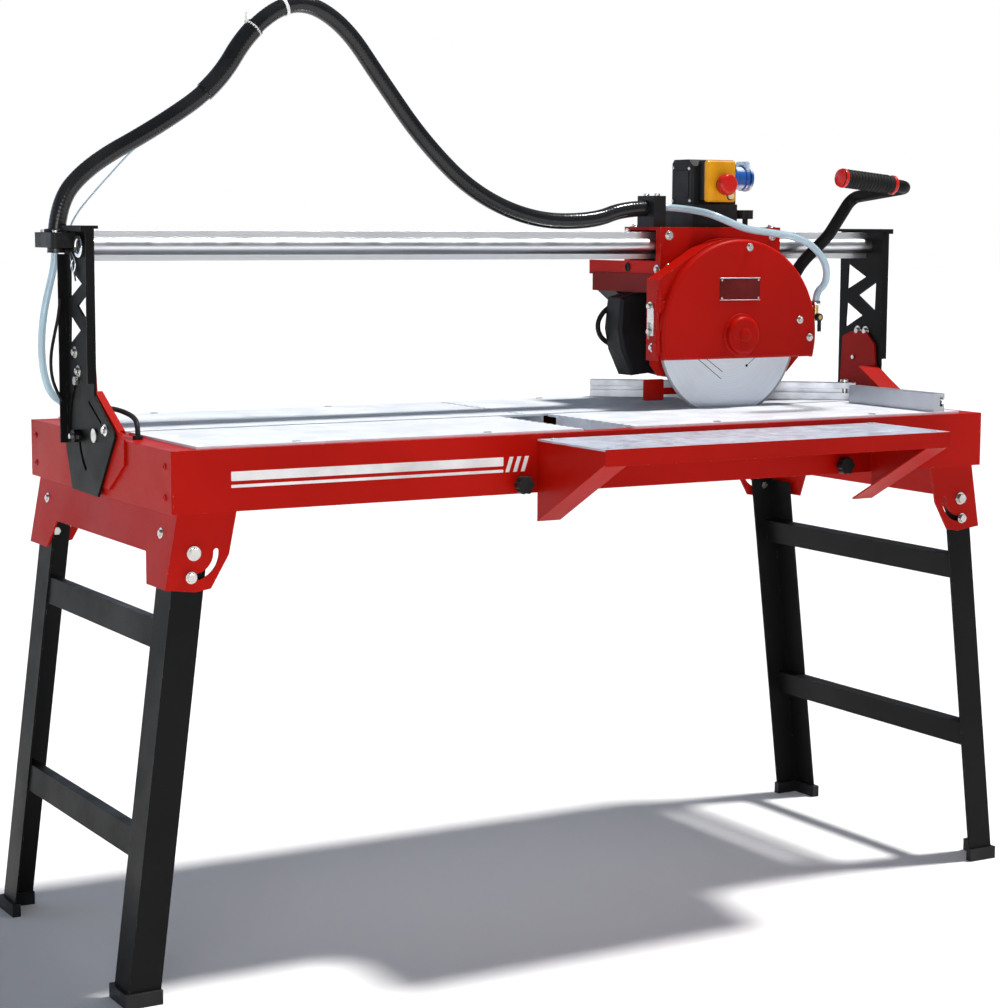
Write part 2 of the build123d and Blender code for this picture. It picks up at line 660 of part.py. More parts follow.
with BuildPart() as side_table_frame:
    block((table_left, table_right), (table_front, -505.5), (792, 818))
    block((table_left, table_right), (-505.5, -309), (812, 815))
    for x in (table_left, table_right - sheet):
        with BuildSketch(facing_right(x)):
            outline([(-309, 687), (-309, 812), (-505.5, 812), (-505.5, 795)])
        extrude(amount=sheet)
    for fold in ((table_left, table_left + 43), (table_right - 43, table_right)):
        with BuildSketch(facing_right(fold[0])):
            outline([(-309, 687), (-505.5, 795), (-505.5, 798), (-309, 690)])
        extrude(amount=fold[1] - fold[0])
save(side_table_frame, "side_table_frame")

for knob_number, knob_x in enumerate((-184, 455), start=1):
    with BuildPart() as table_knob:
        with BuildSketch(facing_front(-316)):
            with Locations((knob_x, 748)):
                Circle(10)
            for lobe in range(6):
                angle = radians(60 * lobe)
                with Locations((knob_x + 9 * cos(angle), 748 + 9 * sin(angle))):
                    Circle(6)
        extrude(amount=13)
        rod_y(knob_x, (-316, -308.3), 748, 6)
    save(table_knob, f"table_knob_{knob_number}")

profile_width, profile_height = 24, 32


def fence_profile(slot_side):
    """Extruded bar with a T-slot in one side; the sketch is centred on the bar's foot."""
    with Locations((0, profile_height / 2)):
        Rectangle(profile_width, profile_height)
    with Locations((slot_side * profile_width / 2, 17)):
        Rectangle(10, 8, mode=Mode.SUBTRACT)
    with Locations((slot_side * (profile_width / 2 - 7), 17)):
        Rectangle(6, 16, mode=Mode.SUBTRACT)


with BuildPart() as rip_fence:
    with BuildSketch(Plane(origin=(682, bench_y - 60, plate_top), x_dir=(1, 0, 0), z_dir=(0, -1, 0))):
        fence_profile(1)
    extrude(amount=236)
save(rip_fence, "rip_fence")

mitre_angle, mitre_length = 143, 500
mitre_dir = Vector(cos(radians(mitre_angle)), sin(radians(mitre_angle)), 0)
with BuildPart() as mitre_fence:
    foot = Vector(mitre_pivot[0], bench_y + mitre_pivot[1], plate_top + 0.3) - mitre_dir * 20
    with BuildSketch(Plane(origin=foot, x_dir=mitre_dir.rotate(Axis.Z, 90), z_dir=mitre_dir)):
        fence_profile(1)
    extrude(amount=mitre_length)
    rod_z(*mitre_pivot, (plate_top - 1, plate_top + 40), 5 + running, mode=Mode.SUBTRACT)
save(mitre_fence, "mitre_fence")

with BuildPart() as water_pump:
    block((-668, -588), (20, 90), (738, 776))
    chamfer(water_pump.edges().filter_by(Axis.Z), 12)
save(water_pump, "water_pump")

# Where the pump's hose and cable come up through the bench's end.
hose_seat, cable_seats = (-749, 150), ((-746, 78), (-744, -112))
with BuildPart() as bench_fittings:
    rod_z(*hose_seat, (bench_top, 834), 10)
    for seat in cable_seats:
        rod_z(*seat, (bench_top, 832), 8)
save(bench_fittings, "bench_fittings")


# ======================== conduit, hoses and cable ========================
def bend_radii(points):
    """As large an arc at every corner as its two runs allow."""
    radii = []
    for before, corner, after in zip(points, points[1:], points[2:]):
        into, away = Vector(*corner) - Vector(*before), Vector(*after) - Vector(*corner)
        turn = radians(into.get_angle(away))
        radii.append(0.45 * min(into.length, away.length) / tan(turn / 2))
    return radii


def cord(points, radius):
    """A round tube along straight runs joined by tangent arcs."""
    places = [(x, bench_y + y, z) for x, y, z in points]
    with BuildLine() as path:
        FilletPolyline(*places, radius=bend_radii(places))
    with BuildSketch(Plane(origin=path.line @ 0, z_dir=path.line % 0)) as section:
        Circle(radius)
    sweep(section.sketch, path=path.wire())
    return path.wire().length


cords = {
    "conduit": (conduit_radius, [
        (-797, 92, 1106), (-797, 92, 1178), (-745, 88, 1242), (-628, 83, 1306), (-528, 79, 1374),
        (-470, 76, 1468), (-388, 72, 1520), (-306, 68, 1484), (-234, 65, 1388), (-158, 62, 1292),
        (-62, 58, 1206), (56, 53, 1160), (176, 49, 1160.5), (240, 46, 1184), (305, 46, 1184)]),
    "left_water_hose": (6, [
        (-789, 118, 1114), (-790, 118, 1090), (-798, 119, 1058), (-808, 122, 1015), (-812, 127, 966),
        (-808, 134, 920), (-794, 141, 880), (-768, 148, 863), (-749, 150, 850), (-749, 150, 834)]),
    "right_water_hose": (6.5, [
        (306.5, 40, 1186), (338, 40, 1186), (372, -14, 1178), (398, -38, 1164), (442, -43, 1147),
        (495, -45, 1142), (548, -45, 1135), (594, -43, 1118), (627, -40, 1084), (629, -37, 1048),
        (608, -34, 1034), (608, -34, 1010)]),
    "pump_cable": (4, [
        (-746, 78, 832), (-746, 78, 849), (-741, 58, 861), (-736, 15, 864), (-735, -35, 862),
        (-738, -85, 857), (-744, -112, 847), (-744, -112, 832)]),
}
for cord_name, (cord_radius, cord_points) in cords.items():
    with BuildPart() as cord_tube:
        cord_length = cord(cord_points, cord_radius)
    share = cord_tube.part.volume / (3.14159265 * cord_radius**2 * cord_length)
    print(cord_name, "length", round(cord_length), "volume share", round(share, 4),
          "radii", [round(r) for r in bend_radii(cord_points)])
    save(cord_tube, cord_name)
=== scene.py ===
"""Bridge wet tile saw: finishes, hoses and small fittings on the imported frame.

Points written as bench(x, y, z) are millimetres from the bench centre line;
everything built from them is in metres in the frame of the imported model.
"""
import math
import random

import bmesh
import bpy
from mathutils import Matrix, Vector


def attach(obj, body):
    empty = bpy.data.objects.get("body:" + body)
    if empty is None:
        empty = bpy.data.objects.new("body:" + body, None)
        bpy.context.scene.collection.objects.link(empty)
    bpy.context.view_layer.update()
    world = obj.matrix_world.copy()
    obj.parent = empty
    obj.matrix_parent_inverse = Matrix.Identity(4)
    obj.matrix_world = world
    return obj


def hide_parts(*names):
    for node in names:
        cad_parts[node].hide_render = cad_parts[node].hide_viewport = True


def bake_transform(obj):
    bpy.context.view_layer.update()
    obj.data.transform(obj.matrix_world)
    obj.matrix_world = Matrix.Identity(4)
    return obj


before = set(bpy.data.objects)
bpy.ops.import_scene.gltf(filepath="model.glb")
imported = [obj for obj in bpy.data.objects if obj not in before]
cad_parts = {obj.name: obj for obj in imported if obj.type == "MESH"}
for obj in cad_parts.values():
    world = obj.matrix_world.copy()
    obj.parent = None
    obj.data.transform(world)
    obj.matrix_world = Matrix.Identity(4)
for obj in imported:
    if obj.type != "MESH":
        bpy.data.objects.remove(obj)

bpy.context.view_layer.update()
BENCH_Y = 0.101
rng = random.Random(7)


def bench(x, y, z):
    """A point given in millimetres from the bench centre line, in metres."""
    return Vector((x / 1000, y / 1000 + BENCH_Y, z / 1000))


# ------------------------------------------------------------- camera
YAW, PITCH, ROLL = 0.5272, 0.1214, 0.0053
forward = Vector((math.sin(YAW) * math.cos(PITCH), math.cos(YAW) * math.cos(PITCH),
                  -math.sin(PITCH)))
side = Vector((math.cos(YAW), -math.sin(YAW), 0))
up = side.cross(forward)
right = side * math.cos(ROLL) + up * math.sin(ROLL)
top = up * math.cos(ROLL) - side * math.sin(ROLL)
camera_data = bpy.data.cameras.new("camera")
camera_data.sensor_width = 36
camera_data.lens = 81.86
camera_data.clip_end = 200
camera = bpy.data.objects.new("camera", camera_data)
turn = Matrix((right, top, -forward)).transposed().to_4x4()
camera.matrix_world = Matrix.Translation((-2.0155, -3.2917, 1.1540)) @ turn
bpy.context.collection.objects.link(camera)
bpy.context.scene.camera = camera


# ------------------------------------------------------------- materials
class Finish:
    """A node material built up step by step around one Principled shader."""

    def __init__(self, name):
        self.material = bpy.data.materials.new(name)
        self.material.use_nodes = True
        self.tree = self.material.node_tree
        self.tree.nodes.clear()
        self.shader = self.node("BsdfPrincipled")
        output = self.node("OutputMaterial")
        self.link(self.shader.outputs[0], output.inputs[0])
        self.place = self.node("TexCoord").outputs["Object"]

    def node(self, kind, **settings):
        made = self.tree.nodes.new("ShaderNode" + kind)
        for key, value in settings.items():
            setattr(made, key, value)
        return made

    def link(self, source, target):
        self.tree.links.new(source, target)

    def put(self, socket, value):
        if hasattr(value, "is_linked"):
            self.link(value, socket)
        else:
            socket.default_value = value

    def stretched(self, scale):
        mapping = self.node("Mapping")
        self.link(self.place, mapping.inputs["Vector"])
        mapping.inputs["Scale"].default_value = scale
        return mapping.outputs[0]

    def noise(self, scale, detail=4.0, rough=0.55, vector=None, distortion=0.0):
        made = self.node("TexNoise")
        self.link(vector or self.place, made.inputs["Vector"])
        made.inputs["Scale"].default_value = scale
        made.inputs["Detail"].default_value = detail
        made.inputs["Roughness"].default_value = rough
        made.inputs["Distortion"].default_value = distortion
        return made.outputs["Fac"]

    def cells(self, scale, feature="F1", vector=None):
        made = self.node("TexVoronoi", feature=feature)
        self.link(vector or self.place, made.inputs["Vector"])
        made.inputs["Scale"].default_value = scale
        return made

    def band(self, value, low, high, to_low=0.0, to_high=1.0):
        made = self.node("MapRange", interpolation_type="SMOOTHSTEP")
        self.put(made.inputs["Value"], value)
        for socket, number in zip(("From Min", "From Max", "To Min", "To Max"),
                                  (low, high, to_low, to_high)):
            made.inputs[socket].default_value = number
        return made.outputs[0]

    def math(self, operation, a, b=0.0):
        made = self.node("Math", operation=operation)
        self.put(made.inputs[0], a)
        self.put(made.inputs[1], b)
        return made.outputs[0]

    def blend(self, amount, a, b):
        made = self.node("Mix", data_type="RGBA")
        self.put(made.inputs[0], amount)
        self.put(made.inputs[6], (*a, 1) if isinstance(a, tuple) else a)
        self.put(made.inputs[7], (*b, 1) if isinstance(b, tuple) else b)
        return made.outputs[2]

    def edges(self, radius):
        """1 along sharp edges, 0 on flat faces."""
        bevel = self.node("Bevel", samples=4)
        bevel.inputs["Radius"].default_value = radius
        dot = self.node("VectorMath", operation="DOT_PRODUCT")
        self.link(bevel.outputs[0], dot.inputs[0])
        self.link(self.node("NewGeometry").outputs["Normal"], dot.inputs[1])
        return self.band(dot.outputs["Value"], 0.995, 0.86)

    def height(self, axis, low, high):
        """Rises from 0 to 1 between two positions along one axis."""
        parts = self.node("SeparateXYZ")
        self.link(self.place, parts.inputs[0])
        return self.band(parts.outputs[axis], low, high)

    def bump(self, height, strength, distance=0.0004, soft_edge=0.0):
        made = self.node("Bump")
        made.inputs["Strength"].default_value = strength
        made.inputs["Distance"].default_value = distance
        self.put(made.inputs["Height"], height)
        if soft_edge:
            bevel = self.node("Bevel", samples=4)
            bevel.inputs["Radius"].default_value = soft_edge
            self.link(bevel.outputs[0], made.inputs["Normal"])
        self.link(made.outputs[0], self.shader.inputs["Normal"])

    def set(self, **values):
        for key, value in values.items():
            self.put(self.shader.inputs[key.replace("_", " ").title()
                                        if key != "ior" else "IOR"], value)


def enamel(name, colour, rough=0.40, worn=(0.55, 0.5, 0.48), wear=0.5, coat=0.0,
           specular=0.08, other=None, where=None):
    """Powder coat: fine orange peel, dusty patches, chips along the edges."""
    f = Finish(name)
    patches = f.noise(6, 5, 0.6)
    dust = f.band(patches, 0.45, 0.85, 0.0, 0.12)
    light = tuple(min(1, c * 1.12 + 0.001) for c in colour)
    dark = tuple(c * 0.84 for c in colour)
    body = f.blend(f.band(f.noise(2.2, 3), 0.3, 0.7), dark, light)
    if where:
        body = f.blend(where(f), body, other)
    body = f.blend(f.math("MULTIPLY", dust, 0.06), body, (0.25, 0.21, 0.20))
    chips = f.math("MULTIPLY", f.edges(0.0016), f.band(f.noise(140, 6, 0.7), 0.54, 0.66))
    chips = f.math("MULTIPLY", chips, wear)
    f.set(base_color=f.blend(chips, body, worn), metallic=f.math("MULTIPLY", chips, 0.8))
    speckle = f.noise(420, 3)
    f.set(roughness=f.math("ADD", f.band(patches, 0.3, 0.8, rough - 0.05, rough + 0.14),
                           f.band(speckle, 0.3, 0.7, -0.03, 0.03)))
    f.set(coat_weight=coat, coat_roughness=0.22)
    f.shader.inputs["Specular IOR Level"].default_value = specular
    f.bump(f.noise(650, 2, 0.5), 0.10, 0.0003, soft_edge=0.0009)
    return f.material


def metal(name, colour, rough=0.3, metallic=1.0, brushed=None, spangle=0.0, stain=0.15,
          edge=0.0007, grain=0.12, other=None, where=None):
    """Bare or galvanised metal with drawn lines or a zinc flower pattern."""
    f = Finish(name)
    dark = tuple(c * (1 - stain) for c in colour)
    tone = f.band(f.noise(5, 5, 0.6, distortion=0.4), 0.3, 0.75)
    body = f.blend(tone, colour, dark)
    height = f.noise(300, 3)
    level = f.band(f.noise(35, 4), 0.3, 0.7, rough - 0.04, rough + 0.08)
    if brushed:
        lines = f.noise(1.0, 5, 0.7, vector=f.stretched(brushed))
        body = f.blend(f.band(lines, 0.35, 0.7, 0.0, 0.4), body, dark)
        level = f.math("ADD", level, f.band(lines, 0.3, 0.7, -0.02, 0.04))
        height = lines
    if spangle:
        flowers = f.cells(spangle).outputs["Color"]
        split = f.node("SeparateColor")
        f.link(flowers, split.inputs[0])
        body = f.blend(f.band(split.outputs[0], 0.0, 1.0, 0.0, 0.55), body,
                       tuple(c * 0.78 for c in colour))
        level = f.math("ADD", level, f.band(split.outputs[1], 0, 1, -0.06, 0.10))
    if where:
        body = f.blend(where(f), body, other)
    f.set(base_color=body, metallic=metallic, roughness=level)
    f.bump(height, grain, 0.0002, soft_edge=edge)
    return f.material


def plastic(name, colour, rough=0.42, grain=900.0, strength=0.15, coat=0.0, wear=0.25,
            specular=0.14, other=None, where=None):
    """Moulded plastic: fine grain, scuffed a little paler along the edges."""
    f = Finish(name)
    tone = f.band(f.noise(9, 4), 0.3, 0.7)
    light = tuple(min(1, c * 1.2 + 0.006) for c in colour)
    dark = tuple(c * 0.8 for c in colour)
    body = f.blend(tone, dark, light)
    if where:
        body = f.blend(where(f), body, other)
    scuff = f.math("MULTIPLY", f.edges(0.0012), f.band(f.noise(90, 5), 0.42, 0.62))
    pale = tuple(min(1, c * 1.5 + 0.05) for c in colour)
    f.set(base_color=f.blend(f.math("MULTIPLY", scuff, wear), body, pale))
    f.set(roughness=f.band(f.noise(40, 4), 0.3, 0.7, rough - 0.05, rough + 0.08))
    f.set(coat_weight=coat, coat_roughness=0.12)
    f.shader.inputs["Specular IOR Level"].default_value = specular
    f.bump(f.cells(grain, "SMOOTH_F1").outputs["Distance"], strength, 0.0002,
           soft_edge=0.0008)
    return f.material


def blade_finish():
    """Ground steel core with turning rings and a darker diamond rim."""
    f = Finish("ground_blade_steel")
    arbor = bench(420, -21, 960)
    offset = f.node("VectorMath", operation="SUBTRACT")
    f.link(f.place, offset.inputs[0])
    offset.inputs[1].default_value = arbor
    flat = f.node("VectorMath", operation="MULTIPLY")
    f.link(offset.outputs[0], flat.inputs[0])
    flat.inputs[1].default_value = (1, 0, 1)
    length = f.node("VectorMath", operation="LENGTH")
    f.link(flat.outputs[0], length.inputs[0])
    radius = length.outputs["Value"]
    rings = f.node("TexNoise", noise_dimensions="1D")
    f.link(f.math("MULTIPLY", radius, 900.0), rings.inputs["W"])
    rings.inputs["Scale"].default_value = 1.0
    rings.inputs["Detail"].default_value = 3.0
    lines = rings.outputs["Fac"]
    core = f.blend(f.band(lines, 0.3, 0.7), (0.85, 0.89, 0.95), (0.70, 0.74, 0.81))
    core = f.blend(f.band(f.noise(14, 5), 0.45, 0.8, 0, 0.5), core, (0.66, 0.68, 0.72))
    rim = f.band(radius, 0.1452, 0.1462)
    grit = f.blend(f.band(f.noise(700, 3), 0.4, 0.6), (0.34, 0.35, 0.36),
                   (0.52, 0.53, 0.55))
    f.set(base_color=f.blend(rim, core, grit), metallic=0.75,
          roughness=f.math("ADD", f.band(lines, 0.3, 0.7, 0.30, 0.42),
                           f.math("MULTIPLY", rim, 0.3)))
    f.bump(f.math("ADD", lines, f.math("MULTIPLY", rim, f.noise(900, 2))), 0.10, 0.0003)
    return f.material


def hose_finish(name, colour, through, rough):
    """Soft clear hose with a little haze."""
    f = Finish(name)
    haze = f.band(f.noise(30, 3), 0.3, 0.7)
    f.set(base_color=f.blend(haze, colour, tuple(c * 0.88 for c in colour)),
          roughness=f.band(f.noise(60, 3), 0.3, 0.7, rough, rough + 0.08))
    f.set(transmission_weight=through, ior=1.42, coat_weight=0.5, coat_roughness=0.08)
    f.bump(f.noise(180, 2), 0.06, 0.0003)
    return f.material


RED, BLACK = (0.42, 0.0052, 0.0018), (0.0075, 0.0075, 0.0075)
FINISH = {
    "red_enamel": enamel("red_enamel_coat", RED, 0.38),
    "black_enamel": enamel("black_enamel_coat", BLACK, 0.42, (0.35, 0.34, 0.33), 0.4),
    "aluminium": metal("extruded_aluminium", (0.82, 0.83, 0.85), 0.34,
                       stain=0.06, grain=0.008),
    "table_zinc": metal("table_zinc_sheet", (0.84, 0.88, 0.94), 0.48, 0.15,
                        brushed=(4, 260, 260), spangle=26, stain=0.08, grain=0.05),
    "galvanised": metal("galvanised_sheet", (0.72, 0.78, 0.90), 0.42, 0.50,
                        spangle=70, stain=0.25),
    "zinc_steel": metal("zinc_plated_steel", (0.72, 0.71, 0.68), 0.26, stain=0.3),
    "blade_steel": blade_finish(),
    "black_plastic": plastic("black_moulding", (0.014, 0.014, 0.015), 0.42),
    "motor_black": plastic("motor_cast_black", (0.010, 0.010, 0.011), 0.48, 420, 0.5),
    "yellow_plastic": plastic("yellow_moulding", (0.82, 0.36, 0.008), 0.34, coat=0.2),
    "red_plastic": plastic("red_moulding", (0.60, 0.012, 0.008), 0.28, coat=0.4),
    "ivory_plastic": plastic("ivory_moulding", (0.70, 0.62, 0.45), 0.30, coat=0.3),
    "blue_plastic": plastic("blue_moulding", (0.03, 0.13, 0.55), 0.30, coat=0.3),
    "grip_rubber": plastic("grip_rubber_black", (0.012, 0.012, 0.013), 0.62, 500, 0.6),
    "conduit_plastic": plastic("conduit_black", (0.010, 0.010, 0.011), 0.24, 700, 0.05,
                               coat=0.5),
    "clear_hose": hose_finish("clear_pvc", (0.62, 0.82, 0.92), 0.30, 0.16),
    "cable_rubber": plastic("cable_black", (0.012, 0.012, 0.012), 0.5, 1200, 0.2),
    "brass": metal("tap_brass", (0.72, 0.52, 0.22), 0.26, stain=0.3),
}
WHITE = plastic("white_nylon", (0.78, 0.78, 0.76), 0.4)
STRIPE = plastic("white_foil", (0.74, 0.72, 0.72), 0.35, 300, 0.04)
CHROME = metal("bright_chrome", (0.86, 0.87, 0.88), 0.10, stain=0.05)

# parts with finishes of their own, most in two colours: the place where each one changes. On
# the beam the dark second colour is painted shade along the lower front of its tube
OWN_FINISH = {
    "beam": metal("beam_aluminium_painted_shade", (0.82, 0.83, 0.85), 0.34, stain=0.05, grain=0.008,
                  other=(0.15, 0.155, 0.17), where=lambda f: f.math(
                      "MULTIPLY", f.height(2, 1.1150, 1.1090),
                      f.height(1, BENCH_Y + 0.0277, BENCH_Y + 0.0273))),
    # the fences' aluminium is darker than the rest: painted shade
    "rip_fence": metal("rip_fence_aluminium_painted_shade", (0.55, 0.57, 0.61), 0.38, stain=0.06, grain=0.01),
    "mitre_fence": metal("mitre_fence_aluminium_painted_shade", (0.55, 0.57, 0.61), 0.38, stain=0.06,
                         grain=0.01),
    "head_arm": enamel("head_arm_coat", RED, 0.38, other=BLACK, where=lambda f: f.math(
        "MULTIPLY", f.height(1, BENCH_Y + 0.0220, BENCH_Y + 0.0225),
        f.height(2, 1.0345, 1.0340))),
    "start_switch": plastic("switch_moulding", (0.82, 0.36, 0.008), 0.34, coat=0.15,
                            other=(0.012, 0.012, 0.013),
                            where=lambda f: f.height(1, BENCH_Y + 0.0095, BENCH_Y + 0.0100)),
    "power_inlet": plastic("power_inlet_moulding", (0.03, 0.13, 0.50), 0.30, coat=0.3,
                           other=(0.66, 0.78, 0.90), where=lambda f: f.math(
                               "ADD", f.height(2, 1.250, 1.256), f.height(2, 1.230, 1.224))),
    "inlet_lid": plastic("inlet_lid_moulding", (0.03, 0.13, 0.50), 0.26, coat=0.3,
                         other=(0.66, 0.78, 0.90), where=lambda f: f.math(
                             "ADD", f.height(2, 1.246, 1.256), f.height(2, 1.232, 1.224))),
}
for name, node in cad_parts.items():
    slot_name = node.data.materials[0].name.split(".")[0]
    for slot in node.material_slots:
        slot.link = "OBJECT"
        slot.material = OWN_FINISH.get(name) or FINISH[slot_name]


# ------------------------------------------------------------- mesh helpers
def piece(name, mesh_or_bm, body, finish, smooth=True, angle=40):
    """Puts a mesh in the scene on its body with its finish."""
    if isinstance(mesh_or_bm, bmesh.types.BMesh):
        mesh = bpy.data.meshes.new(name)
        bmesh.ops.recalc_face_normals(mesh_or_bm, faces=mesh_or_bm.faces)
        mesh_or_bm.to_mesh(mesh)
        mesh_or_bm.free()
    else:
        mesh = mesh_or_bm
    obj = bpy.data.objects.new(name, mesh)
    bpy.context.collection.objects.link(obj)
    mesh.materials.append(finish)
    if smooth:
        for polygon in mesh.polygons:
            polygon.use_smooth = True
        mesh.set_sharp_from_angle(angle=math.radians(angle))
    if body:
        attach(obj, body)
    return obj


def along(axis):
    """A rotation that takes +Z to the axis."""
    return Vector(axis).to_track_quat("Z", "Y").to_matrix().to_4x4()


def add_lathe(bm, profile, place, axis, segments=32):
    """Turns (radius, height) pairs about the axis through place."""
    turned = Matrix.Translation(place) @ along(axis)
    rows = []
    for radius, height in profile:
        if radius < 1e-7:
            rows.append([bm.verts.new(turned @ Vector((0, 0, height)))])
            continue
        rows.append([bm.verts.new(turned @ Vector((radius * math.cos(a),
                                                   radius * math.sin(a), height)))
                     for a in (2 * math.pi * k / segments for k in range(segments))])
    for low, high in zip(rows, rows[1:]):
        for k in range(segments):
            n = (k + 1) % segments
            corners = [low[k % len(low)], low[n % len(low)],
                       high[n % len(high)], high[k % len(high)]]
            corners = list(dict.fromkeys(corners))
            if len(corners) > 2:
                bm.faces.new(corners)


def add_prism(bm, outline, place, across, upward, depth, chamfer=0.0):
    """Extrudes a flat outline of (u, v) points along across x upward."""
    across, upward = Vector(across).normalized(), Vector(upward).normalized()
    out = across.cross(upward)
    centre = sum((Vector(p) for p in outline), Vector((0, 0))) / len(outline)

    def ring(height, inset):
        made = []
        for p in outline:
            q = Vector(p)
            reach = (q - centre).length
            q = centre + (q - centre) * max(0.2, 1 - inset / max(reach, 1e-6))
            made.append(bm.verts.new(Vector(place) + across * q.x + upward * q.y
                                     + out * height))
        return made

    rings = [ring(0, 0), ring(depth - chamfer, 0)]
    if chamfer:
        rings.append(ring(depth, chamfer))
    bm.faces.new(rings[0][::-1])
    for low, high in zip(rings, rings[1:]):
        for k in range(len(outline)):
            n = (k + 1) % len(outline)
            bm.faces.new((low[k], low[n], high[n], high[k]))
    bm.faces.new(rings[-1])


def rounded(width, height, radius, steps=5):
    """A rounded rectangle about the origin."""
    points = []
    for sx, sy, start in ((1, 1, 0), (-1, 1, 90), (-1, -1, 180), (1, -1, 270)):
        for k in range(steps + 1):
            a = math.radians(start + 90 * k / steps)
            points.append((sx * (width / 2 - radius) + radius * math.cos(a),
                           sy * (height / 2 - radius) + radius * math.sin(a)))
    return points


def hexagon(flats):
    return [(flats / math.sqrt(3) * math.cos(math.pi * k / 3),
             flats / math.sqrt(3) * math.sin(math.pi * k / 3)) for k in range(6)]


def add_bolt(bm, place, axis, flats=0.010, head=0.005, washer=True, socket=False):
    """A bolt head on a washer, standing out along the axis."""
    place, axis = Vector(place), Vector(axis).normalized()
    if washer:
        r = flats * 0.95
        add_lathe(bm, [(0, 0), (r, 0), (r, 0.0008), (r - 0.0004, 0.0012), (0, 0.0012)],
                  place, axis, 28)
        place = place + axis * 0.0012
    if socket:
        r, inner = flats * 0.62, flats * 0.3
        add_lathe(bm, [(0, 0), (r, 0), (r, head * 0.8), (r * 0.9, head),
                       (inner, head), (inner * 0.95, head * 0.4), (0, head * 0.4)],
                  place, axis, 24)
        return
    across = axis.orthogonal().normalized()
    add_prism(bm, hexagon(flats), place, across, axis.cross(across), head, flats * 0.07)


def bolts(name, body, places, finish="zinc_steel", **shape):
    bm = bmesh.new()
    for place, axis in places:
        add_bolt(bm, place, axis, **shape)
    return piece(name, bm, body, FINISH[finish], angle=30)


def spline(points, resolution=24):
    """Points along the NURBS curve over the control points."""
    data = bpy.data.curves.new("route", "CURVE")
    data.dimensions = "3D"
    data.resolution_u = resolution
    line = data.splines.new("NURBS")
    line.points.add(len(points) - 1)
    for control, p in zip(line.points, points):
        control.co = (*p, 1)
    line.order_u = 3
    line.use_endpoint_u = True
    holder = bpy.data.objects.new("route", data)
    bpy.context.collection.objects.link(holder)
    bpy.context.view_layer.update()
    mesh = bpy.data.meshes.new_from_object(holder)
    path = [v.co.copy() for v in mesh.vertices]
    bpy.data.objects.remove(holder)
    bpy.data.curves.remove(data)
    bpy.data.meshes.remove(mesh)
    return path


def walk(path, step):
    """The path again, at even steps."""
    lengths = [0.0]
    for a, b in zip(path, path[1:]):
        lengths.append(lengths[-1] + (b - a).length)
    count = max(2, round(lengths[-1] / step))
    made, k = [], 0
    for i in range(count + 1):
        s = lengths[-1] * i / count
        while k < len(path) - 2 and lengths[k + 1] < s:
            k += 1
        span = lengths[k + 1] - lengths[k]
        made.append(path[k].lerp(path[k + 1], (s - lengths[k]) / span if span else 0))
    return made, lengths[-1]


def add_tube(bm, path, radius, segments=20):
    """A tube round the path; radius is a number or radius(length, angle)."""
    fixed = not callable(radius)
    tangents = [(path[min(i + 1, len(path) - 1)] - path[max(i - 1, 0)]).normalized()
                for i in range(len(path))]
    normal = tangents[0].orthogonal().normalized()
    rows, s = [], 0.0
    for i, (p, t) in enumerate(zip(path, tangents)):
        if i:
            s += (p - path[i - 1]).length
        normal = (normal - t * normal.dot(t)).normalized()
        other = t.cross(normal)
        row = []
        for k in range(segments):
            a = 2 * math.pi * k / segments
            r = radius if fixed else radius(s, a)
            row.append(bm.verts.new(p + (normal * math.cos(a) + other * math.sin(a)) * r))
        rows.append(row)
    for low, high in zip(rows, rows[1:]):
        for k in range(segments):
            n = (k + 1) % segments
            bm.faces.new((low[k], low[n], high[n], high[k]))
    bm.faces.new(rows[0][::-1])
    bm.faces.new(rows[-1])


def hose(name, points, radius, finish, step=0.006, profile=None):
    """A cord: a mesh tube on the spline over the route's points."""
    path, length = walk(spline(points), step)
    bm = bmesh.new()
    add_tube(bm, path, profile or radius)
    obj = piece(name, bm, None, finish, angle=60)
    return obj, path, length


# ------------------------------------------------------------- hoses and cables
ROUTES = {
    "conduit": [(-797, 92, 1106), (-797, 92, 1178), (-745, 88, 1242), (-628, 83, 1306),
                (-528, 79, 1374), (-470, 76, 1468), (-388, 72, 1520), (-306, 68, 1484),
                (-234, 65, 1388), (-158, 62, 1292), (-62, 58, 1206), (56, 53, 1160),
                (176, 49, 1160.5), (240, 46, 1184), (305, 46, 1184)],
    "left_water_hose": [(-789, 118, 1114), (-790, 118, 1090), (-798, 119, 1058),
                        (-808, 122, 1015), (-812, 127, 966), (-808, 134, 920),
                        (-794, 141, 880), (-768, 148, 863), (-749, 150, 850),
                        (-749, 150, 834)],
    "right_water_hose": [(306.5, 40, 1186), (338, 40, 1186), (372, -14, 1178),
                         (398, -38, 1164), (442, -43, 1147), (495, -45, 1142),
                         (548, -45, 1135), (594, -43, 1118), (627, -40, 1084),
                         (629, -37, 1048), (608, -34, 1034), (608, -34, 1010)],
    "pump_cable": [(-746, 78, 832), (-746, 78, 849), (-741, 58, 861), (-736, 15, 864),
                   (-735, -35, 862), (-738, -85, 857), (-744, -112, 847),
                   (-744, -112, 832)],
}
ROUTES = {name: [bench(*p) for p in points] for name, points in ROUTES.items()}

CONDUIT_R, PITCH_OF_RIBS = 0.0140, 0.0060


def ribbed(s, a):
    """A rounded helical rib."""
    phase = (s / PITCH_OF_RIBS + a / (2 * math.pi)) % 1.0
    return CONDUIT_R - 0.00035 * (1 - math.sin(math.pi * phase) ** 0.6)


conduit, conduit_path, conduit_length = hose(
    "ribbed_conduit", ROUTES["conduit"], CONDUIT_R, FINISH["conduit_plastic"],
    0.0017, ribbed)


def on_conduit(obj):
    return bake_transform(obj)


def near(path, point):
    """Index of the path's nearest point."""
    return min(range(len(path)), key=lambda i: (path[i] - point).length)


